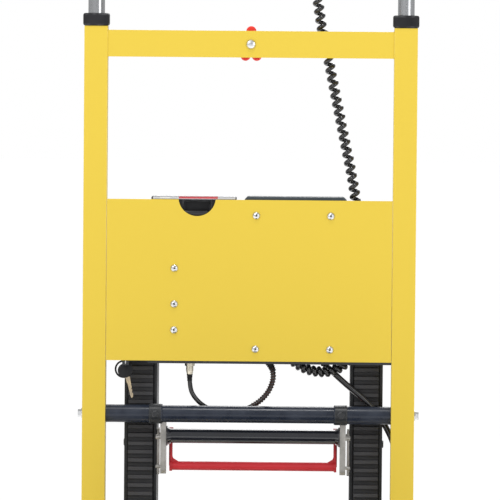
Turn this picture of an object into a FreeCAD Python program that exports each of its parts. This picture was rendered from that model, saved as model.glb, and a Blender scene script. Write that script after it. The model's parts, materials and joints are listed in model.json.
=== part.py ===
import FreeCAD
import Part
import math
import os
import re

V3 = FreeCAD.Vector

# Sizes in millimetres and degrees.  The passenger faces -Y, the operator stands at +Y.
SIZES = {
    # frame
    "post_outer": 250, "post_size": 35, "post_wall": 1.5, "post_low": 150, "post_top": 1150,
    "front": 149, "bar_low": 1104, "bar_tall": 40, "bar_deep": 20,
    # back panel and the box behind it
    "panel_low": 647.5, "panel_top": 890.5, "sheet": 2, "box_deep": 40, "box_left": -152,
    "box_right": 140, "notch_x": -79, "notch_radius": 28, "rivet_radius": 6,
    # cross tube, hangers, spreader tube and red bail
    "cross_z": 566, "cross_radius": 12.8, "sleeve_radius": 13.5, "sleeve_in": 149.5,
    "collar_in": 130.5, "collar_radius": 15, "hanger_in": 131, "hanger_thick": 9,
    "spreader_z": 532, "spreader_y": 24, "spreader_radius": 11,
    "bail_z": 485, "bail_radius": 6.75, "bail_arm": 124.5, "bail_y": 44, "bail_rod": 2.75,
    # tracks
    "axle_y": 102, "axle_z": 80, "rib_pitch": 12.7, "ribs_per_run": 51, "ribs_per_turn": 14,
    "rib_tall": 4, "band_thick": 5, "belt_mid": 171, "belt_wide": 37, "plate_thick": 5,
    "plate_gap": 1.3, "plate_radius": 44, "shaft_radius": 9, "stub_radius": 8,
    "track_shift": 7.5,
    # wheels
    "rear_radius": 80, "rear_wide": 30, "caster_radius": 50, "caster_wide": 24, "trail": 30,
    "caster_y": -347.5,
    # lower frame, seat and footplate
    "base_reach": 365, "seat_z": 370, "seat_hinge": 60, "seat_half": 200, "cushion_thick": 40,
    "foot_half": 150, "foot_z": 142, "foot_y": -372, "foot_reach": 108,
    # handle
    "handle_radius": 12.5, "handle_low": 780, "handle_top": 1450, "handle_bend": 60,
    "collar_size": 39, "collar_tall": 19, "unit_low": 1385,
    "running": 0.3,
}

doc = FreeCAD.newDocument("stair_chair")
sheet = doc.addObject("Spreadsheet::Sheet", "dims")
for row, (alias, value) in enumerate(SIZES.items(), start=1):
    sheet.set("A%d" % row, alias)
    sheet.set("B%d" % row, str(value))
    sheet.setAlias("B%d" % row, alias)
doc.recompute()

S = SIZES
FRONT = S["front"]
RIB_TOP = S["rib_pitch"] * S["ribs_per_turn"] / math.pi
BAND_OUT = RIB_TOP - S["rib_tall"]
BAND_IN = BAND_OUT - S["band_thick"]
SPAN = S["rib_pitch"] * S["ribs_per_run"]
PULLEY = BAND_IN - S["running"]
AXIS_NUMBER = {"x": 0, "y": 1, "z": 2}


def formula(text):
    """Turns the size names in a formula into references to the spreadsheet."""
    def swap(match):
        word = match.group(0)
        return "dims." + word if word in SIZES else word
    return re.sub(r"[a-z][a-z_]*", swap, str(text))


def bind(obj, prop, text):
    obj.setExpression(prop, formula(text))


def box(name, x, y, z):
    """A block between two formulas on each axis."""
    made = doc.addObject("Part::Box", name)
    for prop, axis, (low, high) in (("Length", "x", x), ("Width", "y", y), ("Height", "z", z)):
        bind(made, prop, "(%s) - (%s)" % (high, low))
        bind(made, "Placement.Base." + axis, low)
    return made


def along_axis(made, axis, centre, span):
    """Lays an upright primitive along an axis; centre holds the other two coordinates."""
    turn = {"x": (V3(0, 1, 0), 90), "y": (V3(1, 0, 0), -90), "z": (V3(0, 0, 1), 0)}[axis]
    made.Placement = FreeCAD.Placement(V3(), FreeCAD.Rotation(*turn))
    bind(made, "Height", "(%s) - (%s)" % (span[1], span[0]))
    place = list(centre)
    place.insert(AXIS_NUMBER[axis], span[0])
    for letter, text in zip("xyz", place):
        bind(made, "Placement.Base." + letter, text)
    return made


def rod(name, axis, radius, centre, span):
    made = doc.addObject("Part::Cylinder", name)
    bind(made, "Radius", radius)
    return along_axis(made, axis, centre, span)


def taper(name, axis, radii, centre, span):
    """A cone whose radii are given at the low and the high end."""
    made = doc.addObject("Part::Cone", name)
    bind(made, "Radius1", radii[0])
    bind(made, "Radius2", radii[1])
    return along_axis(made, axis, centre, span)


def hexagon(name, axis, flats, centre, span):
    """A bolt head or nut, sized across its flats."""
    made = doc.addObject("Part::Prism", name)
    made.Polygon = 6
    bind(made, "Circumradius", "(%s) / %.4f" % (flats, math.sqrt(3)))
    return along_axis(made, axis, centre, span)


def fuse(name, parts):
    made = doc.addObject("Part::MultiFuse", name)
    made.Shapes = parts
    return made


def cut(name, base, tools):
    made = doc.addObject("Part::Cut", name)
    made.Base = base
    if len(tools) > 1:
        made.Tool = fuse(name + "_tools", tools)
    else:
        made.Tool = tools[0]
    return made


def group(name, parts):
    """Equal loose pieces that are one sub-part, such as a set of rivets."""
    made = doc.addObject("Part::Compound", name)
    made.Links = parts
    return made


def square_tube(name, along, x, y, z):
    """A hollow tube of the posts' wall, open at both ends."""
    inner = []
    for letter, (low, high) in zip("xyz", (x, y, z)):
        if letter == along:
            inner.append(("%s - 1" % low, "%s + 1" % high))
        else:
            inner.append(("%s + post_wall" % low, "%s - post_wall" % high))
    return cut(name, box(name + "_outside", x, y, z), [box(name + "_inside", *inner)])


def ring(name, axis, outer, inner, centre, span):
    outside = rod(name + "_outside", axis, outer, centre, span)
    hole = rod(name + "_hole", axis, inner, centre, ("%s - 1" % span[0], "%s + 1" % span[1]))
    return cut(name, outside, [hole])


def line_loop(points):
    ends = points[1:] + points[:1]
    return [Part.LineSegment(V3(a[0], a[1], 0), V3(b[0], b[1], 0)) for a, b in zip(points, ends)]


def profile(name, plane, loops, thick, place):
    """A body padded from closed outlines on one of its own planes."""
    body = doc.addObject("PartDesign::Body", name)
    sketch = body.newObject("Sketcher::SketchObject", name + "_outline")
    number = {"XY": 3, "XZ": 4, "YZ": 5}[plane]
    sketch.AttachmentSupport = [(body.Origin.OriginFeatures[number], "")]
    sketch.MapMode = "FlatFace"
    for loop in loops:
        sketch.addGeometry(loop, False)
    pad = body.newObject("PartDesign::Pad", name + "_pad")
    pad.Profile = sketch
    bind(pad, "Length", thick)
    body.Tip = pad
    for letter, text in zip("xyz", place):
        bind(body, "Placement.Base." + letter, text)
    return body


def turned(name, axis, outline, centre):
    """A body turned about an axis from (along, radius) points; centre is its X, Y, Z."""
    body = doc.addObject("PartDesign::Body", name)
    sketch = body.newObject("Sketcher::SketchObject", name + "_outline")
    sketch.AttachmentSupport = [(body.Origin.OriginFeatures[3], "")]
    sketch.MapMode = "FlatFace"
    sketch.addGeometry(line_loop(outline), False)
    spin = body.newObject("PartDesign::Revolution", name + "_turn")
    spin.Profile = sketch
    spin.ReferenceAxis = (sketch, ["H_Axis"])
    spin.Angle = 360
    body.Tip = spin
    turn = {"x": (V3(0, 0, 1), 0), "y": (V3(0, 0, 1), 90), "z": (V3(0, 1, 0), -90)}[axis]
    body.Placement = FreeCAD.Placement(V3(), FreeCAD.Rotation(*turn))
    for letter, text in zip("xyz", centre):
        bind(body, "Placement.Base." + letter, text)
    return body


def rounded(name, base, radius, wanted):
    """A copy of a block with the wanted edges rounded."""
    made = doc.addObject("Part::Fillet", name)
    made.Base = base
    doc.recompute()
    made.Edges = [(number, radius, radius)
                  for number, edge in enumerate(base.Shape.Edges, start=1) if wanted(edge)]
    return made


def upright(edge):
    return abs(edge.tangentAt(edge.FirstParameter).z) > 0.9


def side(text, sign):
    """The formula of a left (-1) or right (+1) distance from the middle plane."""
    return "-(%s)" % text if sign < 0 else "(%s)" % text


def span_x(near, far, sign):
    """The X range of a piece that lies between two distances from the middle plane."""
    if sign > 0:
        return (side(near, 1), side(far, 1))
    return (side(far, -1), side(near, -1))


def track_x(near, far, sign):
    """The same for the crawler unit, which hangs a little to one side of the frame."""
    low, high = span_x(near, far, sign)
    return (low + " + track_shift", high + " + track_shift")


def track_both(reach):
    """The X range of a crawler piece that runs from one side to the other."""
    return ("track_shift - (%s)" % reach, "track_shift + (%s)" % reach)


def track_to_frame(near, far, sign):
    """The X range of a piece that starts on the crawler unit and ends on the frame."""
    if sign > 0:
        return (side(near, 1) + " + track_shift", side(far, 1))
    return (side(far, -1), side(near, -1) + " + track_shift")


def route_wire(points):
    """Straight runs joined by tangent arcs."""
    edges = []
    start = points[0]
    radii = []
    for before, corner, after in zip(points, points[1:], points[2:]):
        way_in = (corner - before).normalize()
        way_out = (after - corner).normalize()
        half_turn = way_in.getAngle(way_out) / 2
        if half_turn < 0.002:
            continue
        shorter = min(before.distanceToPoint(corner), corner.distanceToPoint(after))
        reach = 0.45 * shorter
        radii.append(reach / math.tan(half_turn))
        first = corner - way_in * reach
        last = corner + way_out * reach
        inward = (way_out - way_in).normalize()
        middle = corner + inward * (radii[-1] / math.cos(half_turn) - radii[-1])
        edges.append(Part.makeLine(start, first))
        edges.append(Part.Arc(first, middle, last).toShape())
        start = last
    edges.append(Part.makeLine(start, points[-1]))
    return Part.Wire(edges), min(radii)


def swept(name, points, radius):
    """A bent round bar or cord along a route through space."""
    wire, tightest = route_wire([V3(*point) for point in points])
    edge = Part.makeCircle(radius, wire.Edges[0].Vertexes[0].Point, wire.Edges[0].tangentAt(0))
    pipe = Part.BRepOffsetAPI.MakePipeShell(wire)
    pipe.add(Part.Wire([edge]))
    pipe.build()
    pipe.makeSolid()
    made = doc.addObject("Part::Feature", name)
    made.Shape = pipe.shape()
    print("%s: length %.0f, tightest bend %.0f" % (name, wire.Length, tightest))
    return made


NODES = []


def node(obj):
    NODES.append(obj)
    return obj


LEFT_RIGHT = (("left", -1), ("right", 1))
POST_IN = "post_outer - post_size"

# Posts, crossbar and clamping bolt.
for word, sign in LEFT_RIGHT:
    node(square_tube("post_" + word, "z", span_x(POST_IN, "post_outer", sign),
                     ("front", "front + post_size"), ("post_low", "post_top")))
bar = square_tube("bar_tube", "x", ("-(post_outer - post_size)", "post_outer - post_size"),
                  ("front + 2", "front + 2 + bar_deep"), ("bar_low", "bar_low + bar_tall"))
KNOB_Z = "bar_low + bar_tall/2"
bolt_hole = rod("bar_bolt_hole", "y", "4.3", ("0", KNOB_Z), ("front", "front + 30"))
node(cut("top_crossbar", bar, [bolt_hole]))
bolt_outline = [(-2.4, 0), (-2.1, 3), (-1, 5.8), (0.6, 7), (1.7, 7), (1.7, 4), (36, 4), (36, 0)]
node(turned("clamp_bolt", "y", bolt_outline, ("0", "front", KNOB_Z)))

# Star knob behind the crossbar: a disc with lobes patterned around it.
LOBES = 7
LOBE_REACH = 19.5
disc_outline = [(24, 0), (24, 17), (27, 20), (37, 20), (40, 16), (40, 0)]
lobe_outline = [(25, 0), (25, 5.5), (27.5, 7.5), (36.5, 7.5), (39, 5.5), (39, 0)]
lobes = [turned("knob_disc", "y", disc_outline, ("0", "front", KNOB_Z))]
for number in range(LOBES):
    angle = math.radians(90 + number * 360 / LOBES)
    lobe_at = ("%.4f" % (LOBE_REACH * math.cos(angle)), "front",
               "%s + %.4f" % (KNOB_Z, LOBE_REACH * math.sin(angle)))
    lobes.append(turned("knob_lobe_%d" % number, "y", lobe_outline, lobe_at))
knob_bore = rod("knob_bore", "y", "4.3", ("0", KNOB_Z), ("front + 20", "front + 37"))
node(cut("clamp_knob", fuse("knob_star", lobes), [knob_bore]))

# Back panel with its notch and rivets.
SEAM = "(post_outer - post_size - 0.5)"
blank = box("panel_blank", ("-" + SEAM, SEAM), ("front", "front + sheet"), ("panel_low", "panel_top"))
panel_cuts = [rod("notch", "y", "notch_radius", ("notch_x", "panel_top + 3"),
                  ("front - 1", "front + 5"))]
RIVETS = [(10, 867), (122, 867), (10, 666), (122, 666), (-112.5, 787), (-112.5, 733), (-112.5, 694)]
RIM = S["rivet_radius"]
rivet_outline = [(-0.6, 0), (-0.6, 1.6), (-3.2, 1.6), (-3.2, 2.6), (-2.6, RIM - 1.6), (-1.3, RIM - 0.4),
                 (0, RIM), (0, 2.4), (2.9, 2.4), (2.9, 0)]
rivets = []
for number, (x, z) in enumerate(RIVETS):
    centre = ("%g" % x, "panel_low + %g" % (z - S["panel_low"]))
    label = "rivet_%d" % number
    panel_cuts.append(rod(label + "_hole", "y", "2.7", centre, ("front - 1", "front + 5")))
    rivets.append(turned(label, "y", rivet_outline, (centre[0], "front", centre[1])))
node(cut("back_panel", blank, panel_cuts))
node(group("panel_rivets", rivets))

# Box behind the panel: cover, floor, controller, battery, glands.
cover_out = box("cover_outside", ("box_left", "box_right"), ("front + sheet", "front + box_deep"),
                ("panel_low", "panel_top - 12"))
cover_in = box("cover_inside", ("box_left + 2", "box_right + 1"),
               ("front + sheet - 1", "front + box_deep - 2"), ("panel_low - 1", "panel_top"))
lead_way = box("cover_lead_way", ("60", "box_right + 1"), ("front", "front + box_deep + 1"),
               ("panel_low - 1", "panel_low + 14"))
cover_soft = rounded("cover_soft", cover_out, 5,
                     lambda edge: upright(edge) and edge.Vertexes[0].Y > FRONT + 10)
node(cut("box_cover", cover_soft, [cover_in, lead_way]))
floor = box("floor_plate", ("box_left", "40"), ("front + 6", "front + box_deep"),
            ("panel_low - 4", "panel_low"))
lip = box("floor_lip", ("box_left", SEAM), ("front + sheet", "front + 6"),
          ("panel_low - 4", "panel_low"))
node(fuse("box_floor", [floor, lip]))
case = box("controller_case", ("-4", "box_right - 2"), ("front + 3", "front + box_deep - 4"),
           ("panel_low + 7.5", "panel_top - 8"))
lid = profile("controller_lid", "XZ",
              [line_loop([(-8, 0), (146, 0), (146, 8), (141, 13), (-3, 13), (-8, 8)])],
              "31", ("0", "front + 34", "panel_top - 8"))
node(fuse("controller", [case, lid]))
shell = box("battery_case", ("box_left + 4", "-20"), ("front + 4", "front + box_deep - 4"),
            ("panel_low + 1", "panel_top + 4"))
grip_slot = box("battery_grip", ("notch_x - 20", "notch_x + 20"), ("front + 3", "front + 14"),
                ("panel_top - 22", "panel_top - 2"))
node(cut("battery", rounded("battery_soft", shell, 4, upright), [grip_slot]))
GLAND_AT = ("-89", "front + 34")
gland_body = rod("gland_body", "z", "5.6", GLAND_AT, ("panel_low - 17", "panel_low - 4"))
gland_nut = hexagon("gland_nut", "z", "13", GLAND_AT, ("panel_low - 10", "panel_low - 5"))
gland_tip = taper("gland_tip", "z", ("4.2", "5.4"), GLAND_AT, ("panel_low - 24", "panel_low - 17"))
node(fuse("cable_gland", [gland_body, gland_nut, gland_tip]))

# Spare key on its hook.
hook_plate = box("hook_plate", ("-190", "-180"), ("front + sheet", "front + 5"), ("640", "664"))
hook_pin = rod("hook_pin", "y", "1.6", ("-185", "643"), ("front + 5", "front + 17"))
node(fuse("key_hook", [hook_plate, hook_pin]))
bow = rod("key_bow", "y", "13.5", ("-188", "633.5"), ("front + 8", "front + 12"))
blade = profile("key_blade", "XZ", [line_loop([(-186, 624), (-179, 624), (-173.5, 594),
                                               (-175.5, 590), (-180, 596.5)])],
                "2", ("0", "front + 11", "0"))
key_hole = rod("key_hole", "y", "2.2", ("-185", "643"), ("front + 5", "front + 15"))
node(cut("spare_key", fuse("key_body", [bow, blade]), [key_hole]))

# Cross tube with sleeves, collars, hangers and end bolts.
CROSS_AT = ("front + post_size/2", "cross_z")
cross = [rod("cross_middle", "x", "cross_radius", CROSS_AT, ("-(post_outer - post_size)",
                                                             "post_outer - post_size"))]
end_bolts = []
for word, sign in LEFT_RIGHT:
    cross.append(rod("sleeve_" + word, "x", "sleeve_radius", CROSS_AT,
                     span_x("sleeve_in", POST_IN, sign)))
    washer = rod("washer_" + word, "x", "8", CROSS_AT, span_x("post_outer", "post_outer + 2", sign))
    head = hexagon("end_head_" + word, "x", "10", CROSS_AT,
                   span_x("post_outer + 2", "post_outer + 7", sign))
    end_bolts.append(fuse("end_bolt_" + word, [washer, head]))
node(fuse("cross_tube", cross))
node(group("end_bolts", end_bolts))
SPREAD_AT = ("front + spreader_y", "spreader_z")
HANGER_Y = ("front + 22", "front + 37")
collars = []
for word, sign in LEFT_RIGHT:
    collar = ring("collar_ring_" + word, "x", "collar_radius", "cross_radius + running", CROSS_AT,
                  span_x("collar_in", "sleeve_in - running", sign))
    middle = side("(collar_in + sleeve_in)/2", sign)
    screw = hexagon("collar_screw_" + word, "y", "9", (middle, "cross_z + 1"),
                    ("front + post_size/2 - collar_radius - 4",
                     "front + post_size/2 - collar_radius + 1.5"))
    collars.append(fuse("cross_collar_" + word, [collar, screw]))
    across = track_x("hanger_in", "hanger_in + hanger_thick", sign)
    plate = box("hanger_bar_" + word, across, HANGER_Y,
                ("cross_z - 84.5", "cross_z - collar_radius + 2"))
    foot_end = rod("hanger_end_" + word, "x", "7.5", ("front + 29.5", "cross_z - 84.5"), across)
    beyond = track_x("hanger_in + hanger_thick", "hanger_in + hanger_thick + 7", sign)
    pins = [rod("hanger_pin_" + word, "x", "3.5", ("front + spreader_y + 4", "spreader_z - 2"), beyond),
            rod("hanger_stud_" + word, "x", "2.5", ("front + spreader_y + 4", "bail_z"), beyond)]
    node(fuse("hanger_" + word, [plate, foot_end] + pins))
node(group("cross_collars", collars))

# Spreader tube with flared ends, and the bail's pin on lugs behind it.
BAIL_PIN_AT = ("front + bail_y", "spreader_z")
spreader = [rod("spreader_bar", "x", "spreader_radius", SPREAD_AT, track_both("hanger_in")),
            rod("bail_pin", "x", "3", BAIL_PIN_AT, track_both("bail_arm + 4.5"))]
for word, sign in LEFT_RIGHT:
    low, high = track_x("hanger_in - 7", "hanger_in - 2", sign)
    radii = ("spreader_radius", "spreader_radius + 3")
    spreader.append(taper("spreader_flare_" + word, "x", radii if sign > 0 else radii[::-1],
                          SPREAD_AT, (low, high)))
    spreader.append(rod("spreader_flange_" + word, "x", "spreader_radius + 3", SPREAD_AT,
                        track_x("hanger_in - 2", "hanger_in", sign)))
    spreader.append(box("bail_lug_" + word, track_x("bail_arm - 8", "bail_arm - 4.5", sign),
                        ("front + spreader_y + 8", "front + bail_y + 5"),
                        ("spreader_z - 5", "spreader_z + 5")))
node(fuse("spreader_tube", spreader))

# Red release bail: a bar on two rods that turn on the pin, with claws over the keeper.
BAIL_AT = ("front + bail_y", "bail_z")
bail = [rod("bail_bar", "x", "bail_radius", BAIL_AT, track_both("bail_arm"))]
for word, sign in LEFT_RIGHT:
    arm = side("bail_arm", sign) + " + track_shift"
    bail.append(rod("bail_flange_" + word, "x", "bail_radius + 1.5", BAIL_AT,
                    track_x("bail_arm - 2", "bail_arm + 2", sign)))
    bail.append(rod("bail_rod_" + word, "z", "bail_rod", (arm, "front + bail_y"),
                    ("bail_z", "spreader_z - 4")))
    bail.append(rod("bail_eye_" + word, "x", "6.25", BAIL_PIN_AT,
                    track_x("bail_arm - 3", "bail_arm + 3", sign)))
    gusset = [(0, 0), (-14 * sign, 0), (-4 * sign, 6), (0, 16)]
    bail.append(profile("bail_gusset_" + word, "XZ", [line_loop(gusset)], "3",
                        (arm, "front + bail_y + 1.5", "bail_z + bail_radius - 1.5")))
    bail.append(box("bail_claw_" + word, track_x("bail_arm - 3", "bail_arm + 3", sign),
                    ("front + bail_y - 2", "front + 72"), ("spreader_z + 4", "spreader_z + 9")))
bail_hole = rod("bail_hole", "x", "3 + running", BAIL_PIN_AT, track_both("bail_arm + 6"))
node(cut("release_bail", fuse("bail_solid", bail), [bail_hole]))


# Ribbed crawler belts, walked round the two pulleys rib by rib.
def stadium(radius, steps):
    """A closed loop of short lines round two equal pulleys, one SPAN above the other."""
    points = []
    for centre, first in ((SPAN, math.pi), (0, 0)):
        for step in range(steps + 1):
            angle = first - math.pi * step / steps
            points.append((radius * math.cos(angle), centre + radius * math.sin(angle)))
    return points


def ribbed_loop():
    """The outside of a belt: every rib has a wide foot on the band and a narrower top."""
    foot, crown = 3.4, 2.7
    corners = ((BAND_OUT, -foot), (RIB_TOP, -crown), (RIB_TOP, crown), (BAND_OUT, foot))
    points = []
    for run_side, centre, first in ((-1, SPAN, math.pi), (1, 0, 0)):
        for number in range(S["ribs_per_run"]):
            middle = S["rib_pitch"] * (number + 0.5)
            for radius, offset in corners:
                along = middle + offset
                points.append((run_side * radius, along if run_side < 0 else SPAN - along))
        for number in range(S["ribs_per_turn"]):
            middle = first - math.pi * (number + 0.5) / S["ribs_per_turn"]
            for radius, offset in corners:
                angle = middle - offset / RIB_TOP
                points.append((radius * math.cos(angle), centre + radius * math.sin(angle)))
    return points


AXLE_AT = ("front + axle_y", "axle_z")
IDLER_AT = ("front + axle_y", "axle_z + rib_pitch*ribs_per_run")
BELT_IN = "belt_mid - belt_wide/2"
BELT_OUT = "belt_mid + belt_wide/2"
WINDOWS = ((85, 215), (285, 420), (450, 585))
WINDOW_HALF = 13
BOLT_HEIGHTS = (60, 250, 435, 620)


def window(low, high):
    """A long hole with chamfered corners in a track plate, above the axle."""
    half, chamfer = WINDOW_HALF, 6
    return [(-half, low + chamfer), (-half + chamfer, low), (half - chamfer, low),
            (half, low + chamfer), (half, high - chamfer), (half - chamfer, high),
            (-half + chamfer, high), (-half, high - chamfer)]


drive = [rod("drive_shaft", "x", "shaft_radius", AXLE_AT, track_both(BELT_OUT))]
for word, sign in LEFT_RIGHT:
    low = track_x(BELT_IN, BELT_OUT, sign)
    node(profile("belt_" + word, "YZ",
                 [line_loop(ribbed_loop()), line_loop(stadium(BAND_IN, 20))],
                 "belt_wide", (low[0],) + AXLE_AT))
    inner_face = "(%s - plate_gap)" % BELT_IN
    outer_face = "(%s + plate_gap)" % BELT_OUT
    for name, near, far, hole in (
            ("inner", inner_face + " - plate_thick", inner_face, "shaft_radius + running"),
            ("outer", outer_face, outer_face + " + plate_thick", "stub_radius + running")):
        loops = [line_loop(stadium(S["plate_radius"], 12))]
        loops += [line_loop(window(bottom, top)) for bottom, top in WINDOWS]
        blank = profile("plate_blank_%s_%s" % (name, word), "YZ", loops, "plate_thick",
                        (track_x(near, far, sign)[0],) + AXLE_AT)
        bore = rod("plate_bore_%s_%s" % (name, word), "x", hole, AXLE_AT,
                   track_x(near + " - 2", far + " + 2", sign))
        plate = cut("plate_cut_%s_%s" % (name, word), blank, [bore])
        pin = rod("idler_pin_%s_%s" % (name, word), "x", "stub_radius", IDLER_AT,
                  track_x("belt_mid - 0.01" if name == "outer" else inner_face + " - 8",
                          outer_face if name == "outer" else "belt_mid - 0.01", sign))
        pieces = [plate, pin]
        if name == "outer":
            for height in BOLT_HEIGHTS:
                pieces.append(hexagon("plate_bolt_%s_%d" % (word, height), "x", "10",
                                      ("front + axle_y", "axle_z + %d" % height),
                                      track_x(far + " - 0.01", far + " + 2.5", sign)))
        node(fuse("track_plate_%s_%s" % (name, word), pieces))
    strips = []
    for label, centre in (("front", "front + axle_y - %.3f" % (PULLEY - 2)),
                          ("back", "front + axle_y + %.3f" % (PULLEY - 2))):
        strips.append(box("slider_%s_%s" % (label, word), track_x(inner_face, outer_face, sign),
                          (centre + " - 2", centre + " + 2"),
                          ("axle_z + 60", "axle_z + rib_pitch*ribs_per_run - 60")))
    web = box("slider_web_" + word, track_x("belt_mid - 3", "belt_mid + 3", sign),
              ("front + axle_y - %.3f" % (PULLEY - 4), "front + axle_y + %.3f" % (PULLEY - 4)),
              ("axle_z + 60", "axle_z + rib_pitch*ribs_per_run - 60"))
    node(fuse("track_slider_" + word, strips + [web]))
    node(ring("idler_" + word, "x", "%.3f" % PULLEY, "stub_radius + running", IDLER_AT,
              track_x(BELT_IN, BELT_OUT, sign)))
    drive.append(rod("sprocket_disc_" + word, "x", "%.3f" % PULLEY, AXLE_AT,
                     track_x(BELT_IN, BELT_OUT, sign)))
    drive.append(rod("sprocket_hub_" + word, "x", "16", AXLE_AT,
                     track_x("%s - plate_thick - 12" % inner_face,
                             "%s - plate_thick - 1" % inner_face, sign)))
drive_holes = [rod("drive_hole_" + word, "x", "stub_radius + running", AXLE_AT,
                   track_x("%s - 14" % BELT_OUT, "%s + 1" % BELT_OUT, sign))
               for word, sign in LEFT_RIGHT]
node(cut("drive_shaft_set", fuse("drive_solid", drive), drive_holes))
TRACK_IN = "(belt_mid - belt_wide/2 - plate_gap - plate_thick)"
keeper = [rod("keeper_rod", "x", "5", ("front + 66", "spreader_z - 3.5"), track_both(TRACK_IN))]
for word, sign in LEFT_RIGHT:
    keeper.append(box("keeper_plate_" + word, track_x(TRACK_IN + " - 4", TRACK_IN, sign),
                      ("front + 58", "front + 78"), ("spreader_z - 62", "spreader_z + 8")))
node(fuse("track_keeper", keeper))
rungs = [rod("track_rung_%d" % height, "x", "9", ("front + axle_y", "axle_z + %d" % height),
             track_both(TRACK_IN)) for height in BOLT_HEIGHTS[1::2]]
node(group("track_rungs", rungs))


def wheel_outline(radius, wide, hub, bore):
    """Half section of a wheel: rounded tyre, sunk faces and a hub round the bore."""
    half = wide / 2
    rim = radius * 0.66
    bore = bore + S["running"]
    outside = [(half, bore), (half, hub - 3), (half - 2, hub), (half - 6, hub + 2),
               (half - 6, rim - 2), (half - 0.5, rim + 2), (half - 1, radius - 9),
               (half - 3.5, radius - 3), (half - 8, radius)]
    return outside + [(-along, reach) for along, reach in reversed(outside)]


# Axle plates, axle stubs, rear wheels, gear motor.
for word, sign in LEFT_RIGHT:
    outline = [(0, 150), (0, 300), (28, 300), (36, 226), (118, 112), (126, 80), (118, 56),
               (86, 56)]
    blank = profile("axle_plate_blank_" + word, "YZ", [line_loop(outline)], "6",
                    (span_x(POST_IN + " - 6", POST_IN, sign)[0], "front", "0"))
    hole = rod("axle_plate_hole_" + word, "x", "stub_radius", AXLE_AT,
               span_x(POST_IN + " - 8", POST_IN + " + 2", sign))
    plate = cut("axle_plate_cut_" + word, blank, [hole])
    stub = rod("axle_stub_" + word, "x", "stub_radius", AXLE_AT,
               track_to_frame("%s - 12" % BELT_OUT, "post_outer + 4", sign))
    cap = rod("axle_cap_" + word, "x", "13", AXLE_AT,
              span_x("post_outer - 1.5", "post_outer + 4", sign))
    spacer = rod("axle_spacer_" + word, "x", "12", AXLE_AT,
                 track_to_frame("%s + plate_gap + plate_thick + 1" % BELT_OUT, POST_IN + " - 6",
                                sign))
    node(fuse("axle_plate_" + word, [plate, stub, cap, spacer]))
    node(turned("rear_wheel_" + word, "x",
                wheel_outline(S["rear_radius"], S["rear_wide"], 22, S["stub_radius"]),
                (side("post_outer - post_size/2", sign),) + AXLE_AT))
gear_case = rounded("gear_soft",
                    box("gear_case", ("-36", "36"), ("front + axle_y - 34", "front + axle_y + 34"),
                        ("axle_z - 34", "axle_z + 36")), 6, upright)
gear_extra = [rod("gear_cover", "x", "26", AXLE_AT, ("-40", "40"))]
for place in range(-24, 25, 12):
    gear_extra.append(box("gear_fin_%d" % (place + 24), ("%d" % (place - 1), "%d" % (place + 1)),
                          ("front + axle_y + 33", "front + axle_y + 39"),
                          ("axle_z - 28", "axle_z + 28")))
gear_bore = rod("gear_bore", "x", "shaft_radius + running", AXLE_AT, ("-44", "44"))
arm = box("torque_arm", ("-15", "15"), ("front + post_size", "front + axle_y - 33"),
          ("axle_z + 22", "axle_z + 34"))
foot = box("torque_foot", ("-25", "25"), ("front + post_size", "front + post_size + 6"),
           ("axle_z + 22", "post_low + 30"))
node(cut("gearbox", fuse("gear_solid", [gear_case, arm, foot] + gear_extra), [gear_bore]))
can = turned("motor_can", "z",
             [(0, 0), (0, 33), (7, 33), (7, 30), (96, 30), (96, 31.5), (108, 31.5), (108, 30),
              (126, 30), (132, 26), (136, 18), (136, 0)],
             ("0", "front + axle_y", "axle_z + 36"))
terminal = box("motor_terminal", ("-14", "14"), ("front + axle_y - 38", "front + axle_y - 20"),
               ("axle_z + 130", "axle_z + 160"))
node(fuse("drive_motor", [can, terminal]))

# Lower frame, welded from the posts' own tube.
BASE_Y = ("front - base_reach", "front - base_reach + post_size")
BASE_Z = ("post_low", "post_low + post_size")
base = [square_tube("rear_crossbar", "x", ("-(%s - 6)" % POST_IN, POST_IN + " - 6"),
                    ("front", "front + post_size"), BASE_Z),
        square_tube("base_crossbar", "x", ("-(%s)" % POST_IN, POST_IN), BASE_Y, BASE_Z)]
stand = [square_tube("seat_crossbar", "x", ("-(%s)" % POST_IN, POST_IN), BASE_Y,
                     ("seat_z - post_size", "seat_z"))]
SEAT_AT = ("front - seat_hinge", "seat_z + 2")
hinge = [rod("seat_hinge_rod", "x", "5", SEAT_AT, ("-(%s)" % POST_IN, POST_IN))]
for word, sign in LEFT_RIGHT:
    base.append(square_tube("base_rail_" + word, "y", span_x(POST_IN, "post_outer", sign),
                            ("front - base_reach", "front"), BASE_Z))
    stand.append(square_tube("front_leg_" + word, "z", span_x(POST_IN, "post_outer", sign), BASE_Y,
                             ("post_low + post_size", "seat_z")))
    hinge.append(box("seat_bracket_" + word, span_x(POST_IN, POST_IN + " + 6", sign),
                     ("front - seat_hinge - 14", "front"), ("seat_z - 18", "seat_z + 18")))
node(base.pop(0))
node(fuse("base_frame", base))
node(fuse("front_stand", stand))
node(fuse("seat_hinge", hinge))

# Folding seat on the hinge rod.
seat = [box("seat_sheet", ("-seat_half - 5", "seat_half + 5"),
            ("front - base_reach - 4", "front - seat_hinge - 7"), ("seat_z", "seat_z + 4"))]
for number, centre in enumerate((-160, 0, 160)):
    seat.append(rod("seat_knuckle_%d" % number, "x", "9.5", SEAT_AT, (centre - 25, centre + 25)))
for word, sign in LEFT_RIGHT:
    seat.append(box("seat_flange_" + word, span_x("seat_half + 3", "seat_half + 5", sign),
                    ("front - base_reach + post_size + 4", "front - seat_hinge - 20"),
                    ("seat_z - 14", "seat_z + 1")))
    seat.append(box("seat_rib_" + word, span_x("seat_half - 110", "seat_half - 94", sign),
                    ("front - base_reach + post_size + 8", "front - seat_hinge - 30"),
                    ("seat_z - 9", "seat_z + 1")))
seat_bore = rod("seat_bore", "x", "5 + running", SEAT_AT, ("-post_outer", "post_outer"))
node(cut("seat_pan", fuse("seat_solid", seat), [seat_bore]))
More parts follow.
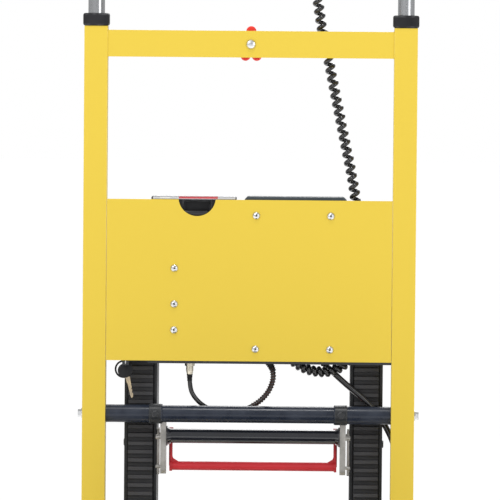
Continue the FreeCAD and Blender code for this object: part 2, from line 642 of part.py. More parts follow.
cushion = box("cushion_block", ("-seat_half", "seat_half"),
              ("front - base_reach - 2", "front - seat_hinge - 12"),
              ("seat_z + 4", "seat_z + 4 + cushion_thick"))
TOP = S["seat_z"] + 4 + S["cushion_thick"]
node(rounded("seat_cushion", cushion, 14,
             lambda edge: upright(edge) or min(v.Z for v in edge.Vertexes) > TOP - 1))

# Folding footplate.
FOOT_AT = ("front + foot_y", "foot_z")
foot = [box("foot_sheet", ("-foot_half", "foot_half"),
            ("front + foot_y - foot_reach", "front + foot_y - 5"), ("foot_z - 4", "foot_z")),
        box("foot_edge", ("-foot_half", "foot_half"),
            ("front + foot_y - foot_reach", "front + foot_y - foot_reach + 4"),
            ("foot_z - 16", "foot_z - 3"))]
for number in range(5):
    behind = "front + foot_y - foot_reach + %d" % (14 + 17 * number)
    foot.append(box("foot_tread_%d" % number, ("-foot_half + 14", "foot_half - 14"),
                    (behind, behind + " + 6"), ("foot_z - 0.01", "foot_z + 1.6")))
lugs = []
for word, sign in LEFT_RIGHT:
    foot.append(rod("foot_knuckle_" + word, "x", "7", FOOT_AT, span_x("70", "110", sign)))
    lugs.append(box("foot_lug_" + word, span_x("112", "122", sign),
                    ("front + foot_y - 6", "front - base_reach + 20"), ("foot_z - 6", "post_low")))
foot_bore = rod("foot_bore", "x", "4 + running", FOOT_AT, ("-160", "160"))
foot_gap = [box("foot_gap_" + word, span_x("111", "123", sign),
                ("front + foot_y - 12", "front + foot_y + 10"), ("foot_z - 20", "foot_z + 5"))
            for word, sign in LEFT_RIGHT]
node(cut("footplate", fuse("foot_solid", foot), [foot_bore] + foot_gap))
node(fuse("foot_hinge", lugs + [rod("foot_pin", "x", "4", FOOT_AT, ("-122", "122"))]))

# Front casters.
LEG_TOP = S["post_low"] - 33
PIN_Y, PIN_Z = S["trail"], S["caster_radius"]
leg_outline = [(-10, LEG_TOP), (PIN_Y + 12, LEG_TOP), (PIN_Y + 12, PIN_Z - 5), (PIN_Y + 6, PIN_Z - 12),
               (PIN_Y - 6, PIN_Z - 12), (PIN_Y - 13, PIN_Z - 4), (PIN_Y - 14, PIN_Z + 20)]
for word, sign in LEFT_RIGHT:
    x = side("post_outer - post_size/2", sign)
    y = "front + caster_y"
    crown = rod("fork_crown_" + word, "z", "17", (x, y), ("post_low - 14", "post_low"))
    bridge = box("fork_bridge_" + word, (x + " - 20", x + " + 20"), (y + " - 17", y + " + trail + 12"),
                 ("post_low - 40", "post_low - 32"))
    neck = rod("fork_neck_" + word, "z", "17", (x, y), ("post_low - 34", "post_low - 13"))
    legs = [profile("fork_leg_%s_%d" % (word, way), "YZ", [line_loop(leg_outline)], "5",
                    (x + " + %g" % low, y, "0")) for way, low in ((0, -20), (1, 15))]
    wheel_at = (y + " + trail", "caster_radius")
    pin = rod("fork_pin_" + word, "x", "5", wheel_at, (x + " - 24", x + " + 24"))
    node(fuse("caster_fork_" + word, [crown, neck, bridge, pin] + legs))
    node(turned("caster_wheel_" + word, "x",
                wheel_outline(S["caster_radius"], S["caster_wide"], 13, 5), (x,) + wheel_at))

# Telescopic handle.
BAR_X = S["post_outer"] - S["post_size"] / 2
BAR_Y = FRONT + S["post_size"] / 2
knee = S["handle_bend"] / 0.45


def handle_route(low):
    """Up one leg, across the top and down the other."""
    top = S["handle_top"]
    return [(-BAR_X, BAR_Y, low), (-BAR_X, BAR_Y, top - knee), (-BAR_X, BAR_Y, top),
            (-BAR_X + knee, BAR_Y, top), (BAR_X - knee, BAR_Y, top), (BAR_X, BAR_Y, top),
            (BAR_X, BAR_Y, top - knee), (BAR_X, BAR_Y, low)]


node(cut("handle_tube", swept("handle_outside", handle_route(S["handle_low"]), S["handle_radius"]),
         [swept("handle_inside", handle_route(S["handle_low"] - 5), S["handle_radius"] - 1.6)]))
caps = []
for word, sign in LEFT_RIGHT:
    x = side("post_outer - post_size/2", sign)
    half = "collar_size/2"
    block = box("cap_block_" + word, (x + " - " + half, x + " + " + half),
                ("front + post_size/2 - " + half, "front + post_size/2 + " + half),
                ("post_top", "post_top + collar_tall"))
    bore = rod("cap_bore_" + word, "z", "handle_radius + running", (x, "front + post_size/2"),
               ("post_top - 1", "post_top + collar_tall + 1"))
    caps.append(cut("post_cap_" + word, rounded("cap_soft_" + word, block, 5, upright), [bore]))
GRIP_AT = ("front + post_size/2", "handle_top")
node(group("post_caps", caps))
grips = [ring("grip_left", "x", "17", "handle_radius + running", GRIP_AT, ("-165", "-10")),
         ring("grip_right", "x", "17", "handle_radius + running", GRIP_AT, ("122", "165"))]
node(group("hand_grips", grips))
unit = profile("unit_block", "YZ",
               [line_loop([(2, 0), (40, 0), (46, 8), (46, 74), (36, 86), (2, 86), (-6, 76), (-6, 10)])],
               "76", ("40", "front", "unit_low"))
unit_cuts = [rod("unit_bore", "x", "handle_radius + running", GRIP_AT, ("30", "130")),
             box("unit_pocket", ("66", "92"), ("front + 38", "front + 50"),
                 ("unit_low + 14", "unit_low + 42"))]
node(cut("control_unit", unit, unit_cuts))
rocker = box("control_rocker", ("67", "91"), ("front + 41", "front + 47.5"),
             ("unit_low + 16", "unit_low + 40"))
node(rocker)

# Cords.  Coordinates are across, behind the posts' front faces, and up.
COIL = [(78, 32, 1384), (86, 34, 1290), (99.7, 34, 1190), (117, 33, 1100), (132, 28, 1027),
        (144, 24, 970), (159, 22, 895), (164, 22, 800), (164, 22, 706), (163.5, 22, 672), (150, 22, 646), (126, 22, 631),
        (98, 22, 631), (75, 22, 640), (56, 22, 655)]
LOOP = [(-89, 34, 624), (-89, 34, 608), (-84, 35, 592), (-68, 36, 576), (-43, 36, 567.5),
        (-14, 36, 569), (11, 36, 579), (29, 36, 596), (37.5, 36, 616), (37, 35, 632), (31, 34, 644)]
LEAD = [(100, 36, 656), (136, 37, 620), (184, 39, 582), (214, 40.2, 540), (227, 40.2, 498),
        (229, 40.2, 430), (229, 40.2, 360), (228, 40.2, 306), (212, 40.2, 268), (176, 40.2, 250),
        (130, 40.2, 244), (80, 40.2, 240), (42, 40.2, 236), (14, 46, 229), (1, 65, 225)]


def cord(name, route, radius):
    return node(swept(name, [(x, FRONT + y, z) for x, y, z in route], radius))


cord("coiled_cord", COIL, 8.5)
cord("loop_cable", LOOP, 3.5)
cord("motor_lead", LEAD, 4.5)

doc.recompute()
for obj in doc.Objects:
    if "Invalid" in obj.State or "Error" in obj.State:
        raise RuntimeError("%s did not recompute: %s" % (obj.Name, obj.State))

os.makedirs("parts", exist_ok=True)
seen = set()
for obj in NODES:
    shape = obj.Shape
    if shape.isNull() or not shape.isValid():
        raise RuntimeError("%s has no valid shape" % obj.Name)
    if obj.Name in seen:
        raise RuntimeError("%s is listed twice" % obj.Name)
    seen.add(obj.Name)
    shape.exportStep("parts/%s.step" % obj.Name)
print("%d sub-parts written" % len(NODES))
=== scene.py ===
import json
import math
import random

import bmesh
import bpy
from mathutils import Matrix, Vector
from mathutils.bvhtree import BVHTree


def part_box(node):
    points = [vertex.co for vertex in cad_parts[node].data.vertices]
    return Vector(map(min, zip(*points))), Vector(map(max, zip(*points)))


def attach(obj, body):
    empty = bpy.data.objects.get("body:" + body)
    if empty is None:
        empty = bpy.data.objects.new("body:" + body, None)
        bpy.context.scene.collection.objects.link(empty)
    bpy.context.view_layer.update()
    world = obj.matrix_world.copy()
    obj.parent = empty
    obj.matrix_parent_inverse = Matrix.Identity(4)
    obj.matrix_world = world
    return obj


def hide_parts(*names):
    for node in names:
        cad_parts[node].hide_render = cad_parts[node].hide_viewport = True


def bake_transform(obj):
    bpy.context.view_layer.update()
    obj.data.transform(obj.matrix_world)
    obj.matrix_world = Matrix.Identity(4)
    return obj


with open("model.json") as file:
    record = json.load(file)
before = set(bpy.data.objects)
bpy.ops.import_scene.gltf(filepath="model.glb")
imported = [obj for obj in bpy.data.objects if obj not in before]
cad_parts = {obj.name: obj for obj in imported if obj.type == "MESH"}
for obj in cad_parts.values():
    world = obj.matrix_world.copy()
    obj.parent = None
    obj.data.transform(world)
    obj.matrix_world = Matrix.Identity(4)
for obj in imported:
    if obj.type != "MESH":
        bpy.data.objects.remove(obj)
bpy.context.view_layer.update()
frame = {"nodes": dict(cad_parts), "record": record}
random.seed(7)

# ---------------------------------------------------------------- places read from the frame
POST_LOW, POST_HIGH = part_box("post_right")
FRONT = POST_LOW.y
POST_MID_Y = (POST_LOW.y + POST_HIGH.y) / 2
POST_IN = POST_LOW.x
POST_OUT = POST_HIGH.x
PANEL_LOW, PANEL_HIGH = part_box("back_panel")
BAR_LOW, BAR_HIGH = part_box("top_crossbar")
CROSS_LOW, CROSS_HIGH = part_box("cross_tube")
CROSS_Z = (CROSS_LOW.z + CROSS_HIGH.z) / 2
AXLE_LOW, AXLE_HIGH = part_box("drive_shaft_set")
AXLE_Y = (AXLE_LOW.y + AXLE_HIGH.y) / 2
AXLE_Z = (AXLE_LOW.z + AXLE_HIGH.z) / 2
IDLER_LOW, IDLER_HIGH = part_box("idler_right")
IDLER_Z = (IDLER_LOW.z + IDLER_HIGH.z) / 2
UNIT_LOW, UNIT_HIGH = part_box("control_unit")
SIDES = (("left", -1), ("right", 1))

# ---------------------------------------------------------------- camera, light and floor
CAMERA_AT = Vector((0.085, FRONT - 7.0, 1.173))
AIM_AT = Vector((0.001, FRONT, 0.8153))
WIDTH_SEEN = 0.751
ROLL = math.radians(0.4726)
SENSOR = 36.0
BACKDROP = 1.0
WORLD_LIGHT = 0.8
WORLD_MIRRORED = 0.5


def add_camera():
    data = bpy.data.cameras.new("camera")
    data.sensor_width = SENSOR
    data.lens = SENSOR * (AIM_AT - CAMERA_AT).length / WIDTH_SEEN
    data.clip_end = 60
    camera = bpy.data.objects.new("camera", data)
    look = (AIM_AT - CAMERA_AT).to_track_quat("-Z", "Y").to_matrix().to_4x4()
    camera.matrix_world = Matrix.Translation(CAMERA_AT) @ look @ Matrix.Rotation(ROLL, 4, "Z")
    bpy.context.scene.collection.objects.link(camera)
    bpy.context.scene.camera = camera


def add_light(name, place, aim, size, power):
    data = bpy.data.lights.new(name, "AREA")
    data.shape = "DISK"
    data.size = size
    data.energy = power
    lamp = bpy.data.objects.new(name, data)
    lamp.location = place
    lamp.rotation_mode = "QUATERNION"
    lamp.rotation_quaternion = (Vector(aim) - Vector(place)).to_track_quat("-Z", "Y")
    bpy.context.scene.collection.objects.link(lamp)


def add_world():
    world = bpy.data.worlds.new("studio")
    world.use_nodes = True
    tree = world.node_tree
    background = tree.nodes["Background"]
    background.inputs["Color"].default_value = (1.0, 1.0, 1.0, 1)
    rays = tree.nodes.new("ShaderNodeLightPath")
    mirrored = tree.nodes.new("ShaderNodeMapRange")
    mirrored.inputs["To Min"].default_value = WORLD_LIGHT
    mirrored.inputs["To Max"].default_value = WORLD_MIRRORED
    seen = tree.nodes.new("ShaderNodeMapRange")
    seen.inputs["To Max"].default_value = BACKDROP
    tree.links.new(rays.outputs["Is Glossy Ray"], mirrored.inputs["Value"])
    tree.links.new(rays.outputs["Is Camera Ray"], seen.inputs["Value"])
    tree.links.new(mirrored.outputs["Result"], seen.inputs["To Min"])
    tree.links.new(seen.outputs["Result"], background.inputs["Strength"])
    bpy.context.scene.world = world


add_camera()
add_world()
MIDDLE = (0, 0, 0.8)
add_light("key_light", (-1.6, -2.6, 2.6), MIDDLE, 1.6, 31)
add_light("fill_light", (2.2, -2.0, 1.6), MIDDLE, 1.6, 16)
add_light("back_light", (0.4, 2.6, 2.4), MIDDLE, 1.6, 26)
add_light("top_light", (0, FRONT - 0.63, 2.75), (0, FRONT, 0.53), 0.35, 10)
bpy.context.scene.view_settings.view_transform = "Standard"

# ---------------------------------------------------------------- shader groups


def new_group(name, inputs, outputs):
    group = bpy.data.node_groups.new(name, "ShaderNodeTree")
    for kind, socket_name, value in inputs:
        socket = group.interface.new_socket(socket_name, in_out="INPUT", socket_type=kind)
        socket.default_value = value
    for kind, socket_name in outputs:
        group.interface.new_socket(socket_name, in_out="OUTPUT", socket_type=kind)
    return group


def add_node(tree, kind, **settings):
    node = tree.nodes.new(kind)
    for key, value in settings.items():
        setattr(node, key, value)
    return node


def make_finish_group():
    """Patchy tint, patchy roughness and a fine surface grain, all on Object coordinates."""
    group = new_group(
        "surface_finish",
        [("NodeSocketColor", "Tint", (0.5, 0.5, 0.5, 1)),
         ("NodeSocketColor", "Wear And Painted Light Tint", (0.5, 0.5, 0.5, 1)),
         ("NodeSocketColor", "Edge Tint", (0.5, 0.5, 0.5, 1)),
         ("NodeSocketFloat", "Edge Share", 0.5),
         ("NodeSocketVector", "Stretch", (1, 1, 1)),
         ("NodeSocketFloat", "Patch Scale", 20),
         ("NodeSocketFloat", "Patch Share", 0.5),
         ("NodeSocketFloat", "Smooth Roughness", 0.3),
         ("NodeSocketFloat", "Rough Roughness", 0.5),
         ("NodeSocketFloat", "Grain Scale", 900),
         ("NodeSocketFloat", "Grain Strength", 0.1)],
        [("NodeSocketColor", "Color"), ("NodeSocketFloat", "Roughness"),
         ("NodeSocketVector", "Normal")])
    tree_in = add_node(group, "NodeGroupInput")
    tree_out = add_node(group, "NodeGroupOutput")
    place = add_node(group, "ShaderNodeTexCoord")
    stretch = add_node(group, "ShaderNodeVectorMath", operation="MULTIPLY")
    patches = add_node(group, "ShaderNodeTexNoise")
    patches.inputs["Detail"].default_value = 5
    spread = add_node(group, "ShaderNodeMapRange")
    spread.inputs["From Min"].default_value = 0.38
    spread.inputs["From Max"].default_value = 0.68
    share = add_node(group, "ShaderNodeMath", operation="MULTIPLY")
    tint = add_node(group, "ShaderNodeMix", data_type="RGBA")
    rough = add_node(group, "ShaderNodeMapRange")
    grain = add_node(group, "ShaderNodeTexNoise")
    grain.inputs["Detail"].default_value = 3
    # Bevelled edges are lightened in patches: edge wear on most materials, a painted highlight on
    # the yellow paint.
    edge = add_node(group, "ShaderNodeAttribute", attribute_name="edge")
    edge_wear_and_highlight_noise = add_node(group, "ShaderNodeTexNoise")
    edge_wear_and_highlight_noise.inputs["Scale"].default_value = 110
    edge_wear_and_highlight_noise.inputs["Detail"].default_value = 4
    edge_wear_and_highlight_spots = add_node(group, "ShaderNodeMapRange")
    edge_wear_and_highlight_spots.inputs["From Min"].default_value = 0.40
    edge_wear_and_highlight_spots.inputs["From Max"].default_value = 0.60
    on_edge = add_node(group, "ShaderNodeMath", operation="MULTIPLY")
    edge_share = add_node(group, "ShaderNodeMath", operation="MULTIPLY")
    edge_tint = add_node(group, "ShaderNodeMix", data_type="RGBA")
    bump = add_node(group, "ShaderNodeBump")
    bump.inputs["Distance"].default_value = 0.0006
    link = group.links.new
    link(place.outputs["Object"], stretch.inputs[0])
    link(tree_in.outputs["Stretch"], stretch.inputs[1])
    link(stretch.outputs[0], patches.inputs["Vector"])
    link(tree_in.outputs["Patch Scale"], patches.inputs["Scale"])
    link(patches.outputs["Fac"], spread.inputs["Value"])
    link(spread.outputs["Result"], share.inputs[0])
    link(tree_in.outputs["Patch Share"], share.inputs[1])
    link(share.outputs[0], tint.inputs["Factor"])
    link(tree_in.outputs["Tint"], tint.inputs["A"])
    link(tree_in.outputs["Wear And Painted Light Tint"], tint.inputs["B"])
    link(place.outputs["Object"], edge_wear_and_highlight_noise.inputs["Vector"])
    link(edge_wear_and_highlight_noise.outputs["Fac"], edge_wear_and_highlight_spots.inputs["Value"])
    link(edge_wear_and_highlight_spots.outputs["Result"], on_edge.inputs[0])
    link(edge.outputs["Fac"], on_edge.inputs[1])
    link(on_edge.outputs[0], edge_share.inputs[0])
    link(tree_in.outputs["Edge Share"], edge_share.inputs[1])
    link(edge_share.outputs[0], edge_tint.inputs["Factor"])
    link(tint.outputs["Result"], edge_tint.inputs["A"])
    link(tree_in.outputs["Edge Tint"], edge_tint.inputs["B"])
    link(edge_tint.outputs["Result"], tree_out.inputs["Color"])
    link(spread.outputs["Result"], rough.inputs["Value"])
    link(tree_in.outputs["Smooth Roughness"], rough.inputs["To Min"])
    link(tree_in.outputs["Rough Roughness"], rough.inputs["To Max"])
    link(rough.outputs["Result"], tree_out.inputs["Roughness"])
    link(stretch.outputs[0], grain.inputs["Vector"])
    link(tree_in.outputs["Grain Scale"], grain.inputs["Scale"])
    link(grain.outputs["Fac"], bump.inputs["Height"])
    link(tree_in.outputs["Grain Strength"], bump.inputs["Strength"])
    link(bump.outputs["Normal"], tree_out.inputs["Normal"])
    return group


FINISH = make_finish_group()


def material(name, tint, wear_and_painted_light, rough=(0.35, 0.5), metallic=0.0, coat=0.0, patch=(18, 0.6),
             grain=(900, 0.1), stretch=(1, 1, 1), specular=0.5, edge=None, edge_share=0.6):
    """A surface whose colour, roughness and grain all come from the finish group."""
    made = bpy.data.materials.new(name)
    made.use_nodes = True
    made.diffuse_color = (*tint, 1)
    tree = made.node_tree
    shader = tree.nodes["Principled BSDF"]
    finish = add_node(tree, "ShaderNodeGroup", node_tree=FINISH)
    finish.name = "finish"
    edge = edge or tuple(min(1.0, 1.5 * part + 0.03) for part in wear_and_painted_light)
    values = {"Tint": (*tint, 1), "Wear And Painted Light Tint": (*wear_and_painted_light, 1), "Stretch": stretch,
              "Edge Tint": (*edge, 1), "Edge Share": edge_share,
              "Patch Scale": patch[0], "Patch Share": patch[1],
              "Smooth Roughness": rough[0], "Rough Roughness": rough[1],
              "Grain Scale": grain[0], "Grain Strength": grain[1]}
    for socket, value in values.items():
        finish.inputs[socket].default_value = value
    tree.links.new(finish.outputs["Color"], shader.inputs["Base Color"])
    tree.links.new(finish.outputs["Roughness"], shader.inputs["Roughness"])
    tree.links.new(finish.outputs["Normal"], shader.inputs["Normal"])
    shader.inputs["Metallic"].default_value = metallic
    shader.inputs["Coat Weight"].default_value = coat
    shader.inputs["Coat Roughness"].default_value = 0.15
    shader.inputs["Specular IOR Level"].default_value = specular
    return made


# The yellow's lighter edge tint is a painted highlight along the bevelled edges.
YELLOW = material("yellow_powder_coat", (0.668, 0.486, 0.047), (0.652, 0.472, 0.044), (0.36, 0.46),
                  coat=0.08, patch=(5, 0.45), grain=(700, 0.08), specular=0.3,
                  edge=(0.80, 0.63, 0.16), edge_share=0.45)
BLACK_METAL = material("black_painted_steel", (0.013, 0.015, 0.018), (0.030, 0.031, 0.035),
                       (0.32, 0.5), patch=(30, 0.6), grain=(600, 0.18))
SLATE = material("slate_enamel", (0.013, 0.018, 0.031), (0.030, 0.037, 0.056), (0.26, 0.40),
                 coat=0.12, patch=(40, 0.7), grain=(350, 0.15), specular=0.35)
GLOSS_BLACK = material("gloss_black_enamel", (0.008, 0.009, 0.013), (0.02, 0.022, 0.03),
                       (0.08, 0.16), coat=0.8, patch=(25, 0.4), grain=(500, 0.03))
RED_METAL = material("red_enamel", (0.62, 0.034, 0.045), (0.54, 0.024, 0.032), (0.3, 0.45),
                     coat=0.05, specular=0.3, patch=(35, 0.6), grain=(500, 0.1))
RED_PLASTIC = material("red_moulded_plastic", (0.80, 0.035, 0.020), (0.68, 0.025, 0.015),
                       (0.28, 0.4), patch=(40, 0.5), grain=(1200, 0.08))
ZINC = material("bright_zinc", (0.72, 0.73, 0.75), (0.55, 0.56, 0.58), (0.2, 0.38), metallic=1.0,
                patch=(120, 0.6), grain=(1500, 0.08))
DULL_ZINC = material("dull_zinc_plate", (0.47, 0.455, 0.43), (0.33, 0.32, 0.30), (0.38, 0.55),
                     metallic=0.75, patch=(60, 0.7), grain=(900, 0.15))
# The chrome's patches are stretched up the tube into painted reflection streaks.
CHROME = material("polished_tube", (0.50, 0.51, 0.52), (0.40, 0.41, 0.43), (0.12, 0.24),
                  metallic=1.0, patch=(14, 0.5), grain=(1400, 0.04), stretch=(1, 1, 0.2))
NICKEL = material("nickel_gland", (0.72, 0.67, 0.55), (0.58, 0.53, 0.42), (0.22, 0.4),
                  metallic=0.9, patch=(150, 0.6), grain=(1500, 0.1))
BRASS = material("worn_brass", (0.56, 0.45, 0.29), (0.36, 0.31, 0.25), (0.25, 0.45),
                 metallic=0.9, patch=(160, 0.7), grain=(1500, 0.1))
BLACK_PLASTIC = material("black_grained_plastic", (0.010, 0.0105, 0.012), (0.024, 0.024, 0.027),
                         (0.4, 0.55), patch=(40, 0.6), grain=(2200, 0.3), specular=0.2)
CONTROLLER = material("blue_black_case", (0.024, 0.036, 0.046), (0.042, 0.056, 0.068),
                      (0.35, 0.5), patch=(30, 0.6), grain=(900, 0.15))
FOAM = material("foam_grip", (0.016, 0.016, 0.017), (0.032, 0.032, 0.033), (0.75, 0.9),
                patch=(60, 0.7), grain=(1600, 0.6), specular=0.25)
CORD_BLACK = material("black_cord_sheath", (0.006, 0.006, 0.007), (0.014, 0.014, 0.016),
                      (0.14, 0.26), coat=0.4, patch=(90, 0.5), grain=(1800, 0.08))
WRAP_BROWN = material("brown_spiral_wrap", (0.060, 0.022, 0.014), (0.016, 0.010, 0.009),
                      (0.35, 0.5), patch=(90, 0.7), grain=(1200, 0.1))
STEEL = material("turned_steel", (0.50, 0.51, 0.53), (0.38, 0.39, 0.41), (0.25, 0.4),
                 metallic=1.0, patch=(60, 0.6), grain=(1500, 0.2), stretch=(6, 1, 1))
ALLOY = material("cast_alloy", (0.42, 0.43, 0.45), (0.33, 0.34, 0.36), (0.45, 0.6),
                 metallic=0.85, patch=(50, 0.6), grain=(450, 0.5))
SHEET_ALLOY = material("satin_sheet", (0.55, 0.56, 0.58), (0.44, 0.45, 0.47), (0.32, 0.48),
                       metallic=0.9, patch=(25, 0.6), grain=(900, 0.12), stretch=(0.2, 4, 1))
TYRE = material("grey_black_tyre", (0.028, 0.028, 0.030), (0.06, 0.058, 0.055), (0.6, 0.8),
                patch=(30, 0.7), grain=(900, 0.35), specular=0.3)
HUB = material("grey_hub_plastic", (0.20, 0.205, 0.215), (0.15, 0.155, 0.165), (0.4, 0.55),
               patch=(40, 0.5), grain=(1500, 0.2))
VINYL = material("black_seat_vinyl", (0.017, 0.017, 0.019), (0.032, 0.032, 0.035), (0.38, 0.55),
                 patch=(26, 0.6), grain=(420, 0.55))
THREAD = material("grey_stitching", (0.14, 0.14, 0.15), (0.10, 0.10, 0.11), (0.6, 0.8),
                  patch=(80, 0.5), grain=(2000, 0.3))
LABEL_SILVER = material("silver_label", (0.66, 0.67, 0.69), (0.52, 0.53, 0.56), (0.3, 0.45),
                        metallic=0.5, patch=(90, 0.6), grain=(1500, 0.05))
LABEL_RED = material("red_label", (0.55, 0.05, 0.06), (0.42, 0.05, 0.06), (0.4, 0.55),
                     patch=(120, 0.8), grain=(1500, 0.05))
LABEL_WHITE = material("white_label", (0.72, 0.72, 0.70), (0.58, 0.58, 0.57), (0.4, 0.55),
                       patch=(120, 0.6), grain=(1500, 0.05))
GRIP_TAPE = material("footplate_grit", (0.03, 0.03, 0.032), (0.06, 0.06, 0.062), (0.8, 0.95),
                     patch=(120, 0.7), grain=(1300, 1.0), specular=0.3)
FLOOR = material("pale_floor", (0.86, 0.86, 0.86), (0.84, 0.84, 0.84), (0.6, 0.75),
                 patch=(2, 0.4), grain=(60, 0.02))
FLOOR_GLOW = 0.36
FLOOR.node_tree.nodes["Principled BSDF"].inputs["Emission Color"].default_value = (1, 1, 1, 1)
FLOOR.node_tree.nodes["Principled BSDF"].inputs["Emission Strength"].default_value = FLOOR_GLOW


def make_belt_rubber():
    """Black rubber whose rib crowns carry a painted grey highlight: the mask grows with height over
    the band.
    """
    made = material("ribbed_belt_rubber", (0.022, 0.022, 0.025), (0.04, 0.04, 0.043), (0.5, 0.7),
                    patch=(45, 0.7), grain=(1100, 0.35), specular=0.35)
    tree = made.node_tree
    shader = tree.nodes["Principled BSDF"]
    finish = tree.nodes["finish"]
    place = add_node(tree, "ShaderNodeTexCoord")
    parts = add_node(tree, "ShaderNodeSeparateXYZ")
    across = add_node(tree, "ShaderNodeMath", operation="SUBTRACT")
    across.inputs[1].default_value = AXLE_Y
    along = add_node(tree, "ShaderNodeClamp")
    along.inputs["Min"].default_value = AXLE_Z
    along.inputs["Max"].default_value = IDLER_Z
    beyond = add_node(tree, "ShaderNodeMath", operation="SUBTRACT")
    join = add_node(tree, "ShaderNodeCombineXYZ")
    distance = add_node(tree, "ShaderNodeVectorMath", operation="LENGTH")
    # The rib crowns are lightened to a grey painted highlight.
    crown = add_node(tree, "ShaderNodeMapRange")
    crown.inputs["From Min"].default_value = 0.0545
    crown.inputs["From Max"].default_value = 0.0566
    crown.inputs["To Max"].default_value = 0.85
    crown_highlight = add_node(tree, "ShaderNodeMix", data_type="RGBA")
    crown_highlight.inputs["B"].default_value = (0.055, 0.055, 0.060, 1)
    link = tree.links.new
    link(place.outputs["Object"], parts.inputs[0])
    link(parts.outputs["Y"], across.inputs[0])
    link(parts.outputs["Z"], along.inputs["Value"])
    link(parts.outputs["Z"], beyond.inputs[0])
    link(along.outputs[0], beyond.inputs[1])
    link(across.outputs[0], join.inputs["Y"])
    link(beyond.outputs[0], join.inputs["Z"])
    link(join.outputs[0], distance.inputs[0])
    link(distance.outputs["Value"], crown.inputs["Value"])
    link(crown.outputs["Result"], crown_highlight.inputs["Factor"])
    link(finish.outputs["Color"], crown_highlight.inputs["A"])
    link(crown_highlight.outputs["Result"], shader.inputs["Base Color"])
    return made


BELT = make_belt_rubber()

# ---------------------------------------------------------------- mesh helpers


def put(obj, made, body, stands_for=()):
    """Gives a finished piece its material and body, and hides the CAD nodes that it stands for."""
    obj.data.materials.clear()
    obj.data.materials.append(made)
    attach(obj, body)
    for node_name in stands_for:
        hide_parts(node_name)
    return obj


def new_object(name, bm):
    mesh = bpy.data.meshes.new(name)
    bm.to_mesh(mesh)
    bm.free()
    obj = bpy.data.objects.new(name, mesh)
    bpy.context.scene.collection.objects.link(obj)
    return obj


def smooth(obj, angle=35):
    """Smooth shading with sharp edges kept where faces meet at more than the angle."""
    bm = bmesh.new()
    bm.from_mesh(obj.data)
    for face in bm.faces:
        face.smooth = True
    for edge in bm.edges:
        edge.smooth = len(edge.link_faces) == 2 and edge.calc_face_angle(0) < math.radians(angle)
    wear_and_painted_light = bm.loops.layers.float_color.get("edge")
    if wear_and_painted_light:
        eased_faces = {face for face in bm.faces if face.loops[0][wear_and_painted_light][0] > 0.5}
        for edge in bm.edges:
            if len(eased_faces.intersection(edge.link_faces)) == 1:
                edge.smooth = False
    bm.to_mesh(obj.data)
    bm.free()
    return obj


def eased(node_name, width, segments=2, angle=32):
    """A copy of a CAD node, merged, with its sharp edges rounded over."""
    source = frame["nodes"][node_name]
    bm = bmesh.new()
    bm.from_mesh(source.data)
    # The edge layer marks the bevelled faces; their colour is lightened as edge wear and, on the
    # yellow paint, as a painted highlight.
    wear_and_painted_light = bm.loops.layers.float_color.new("edge")
    for face in bm.faces:
        for loop in face.loops:
            loop[wear_and_painted_light] = (0, 0, 0, 1)
    bmesh.ops.remove_doubles(bm, verts=bm.verts, dist=1e-6)
    bmesh.ops.dissolve_limit(bm, angle_limit=math.radians(1), verts=bm.verts, edges=bm.edges)
    sharp = [edge for edge in bm.edges
             if len(edge.link_faces) == 2 and edge.calc_face_angle(0) > math.radians(angle)]
    rounded = bmesh.ops.bevel(bm, geom=sharp, offset=width, offset_type="OFFSET", affect="EDGES",
                              segments=segments, profile=0.5, material=-1, clamp_overlap=True)
    for face in rounded["faces"]:
        for loop in face.loops:
            loop[wear_and_painted_light] = (1, 1, 1, 1)
    bmesh.ops.triangulate(bm, faces=[face for face in bm.faces if len(face.verts) > 4])
    return smooth(new_object(node_name + "_shell", bm), 28)


AXES = {"x": Matrix.Rotation(math.pi / 2, 4, "Y"), "y": Matrix.Rotation(-math.pi / 2, 4, "X"),
        "z": Matrix.Identity(4)}


def turned(name, outline, axis, centre, steps=40, closed=False):
    """Spins an outline of (radius, along) points a full turn round an axis."""
    bm = bmesh.new()
    verts = [bm.verts.new((radius, 0, along)) for radius, along in outline]
    edges = [bm.edges.new(pair) for pair in zip(verts, verts[1:])]
    if closed:
        edges.append(bm.edges.new((verts[-1], verts[0])))
    bmesh.ops.spin(bm, geom=verts + edges, cent=(0, 0, 0), axis=(0, 0, 1), angle=2 * math.pi,
                   steps=steps, use_merge=True)
    bmesh.ops.remove_doubles(bm, verts=bm.verts, dist=1e-6)
    bmesh.ops.transform(bm, matrix=Matrix.Translation(centre) @ AXES[axis], verts=bm.verts)
    bmesh.ops.recalc_face_normals(bm, faces=bm.faces)
    return smooth(new_object(name, bm))


def joined(name, pieces):
    """Several loose meshes made one piece."""
    bm = bmesh.new()
    for piece in pieces:
        bm.from_mesh(piece.data)
        bpy.data.objects.remove(piece)
    return new_object(name, bm)


def block(name, low, high, round_by=0.0, segments=2):
    bm = bmesh.new()
    bmesh.ops.create_cube(bm, size=1)
    size = Vector(high) - Vector(low)
    bmesh.ops.scale(bm, vec=size, verts=bm.verts)
    bmesh.ops.translate(bm, vec=(Vector(low) + Vector(high)) / 2, verts=bm.verts)
    if round_by:
        bmesh.ops.bevel(bm, geom=bm.edges[:], offset=round_by, offset_type="OFFSET",
                        affect="EDGES", segments=segments, profile=0.5, material=-1)
    return smooth(new_object(name, bm))


def nurbs(name, points, radius=0.0):
    """A cord's smooth line through its route, with a round section if it has a radius."""
    data = bpy.data.curves.new(name, "CURVE")
    data.dimensions = "3D"
    spline = data.splines.new("NURBS")
    spline.points.add(len(points) - 1)
    for point, place in zip(spline.points, points):
        point.co = (*place, 1)
    spline.order_u = 3
    spline.use_endpoint_u = True
    spline.resolution_u = 12
    data.bevel_depth = radius
    data.bevel_resolution = 4
    data.use_fill_caps = True
    obj = bpy.data.objects.new(name, data)
    bpy.context.scene.collection.objects.link(obj)
    return obj


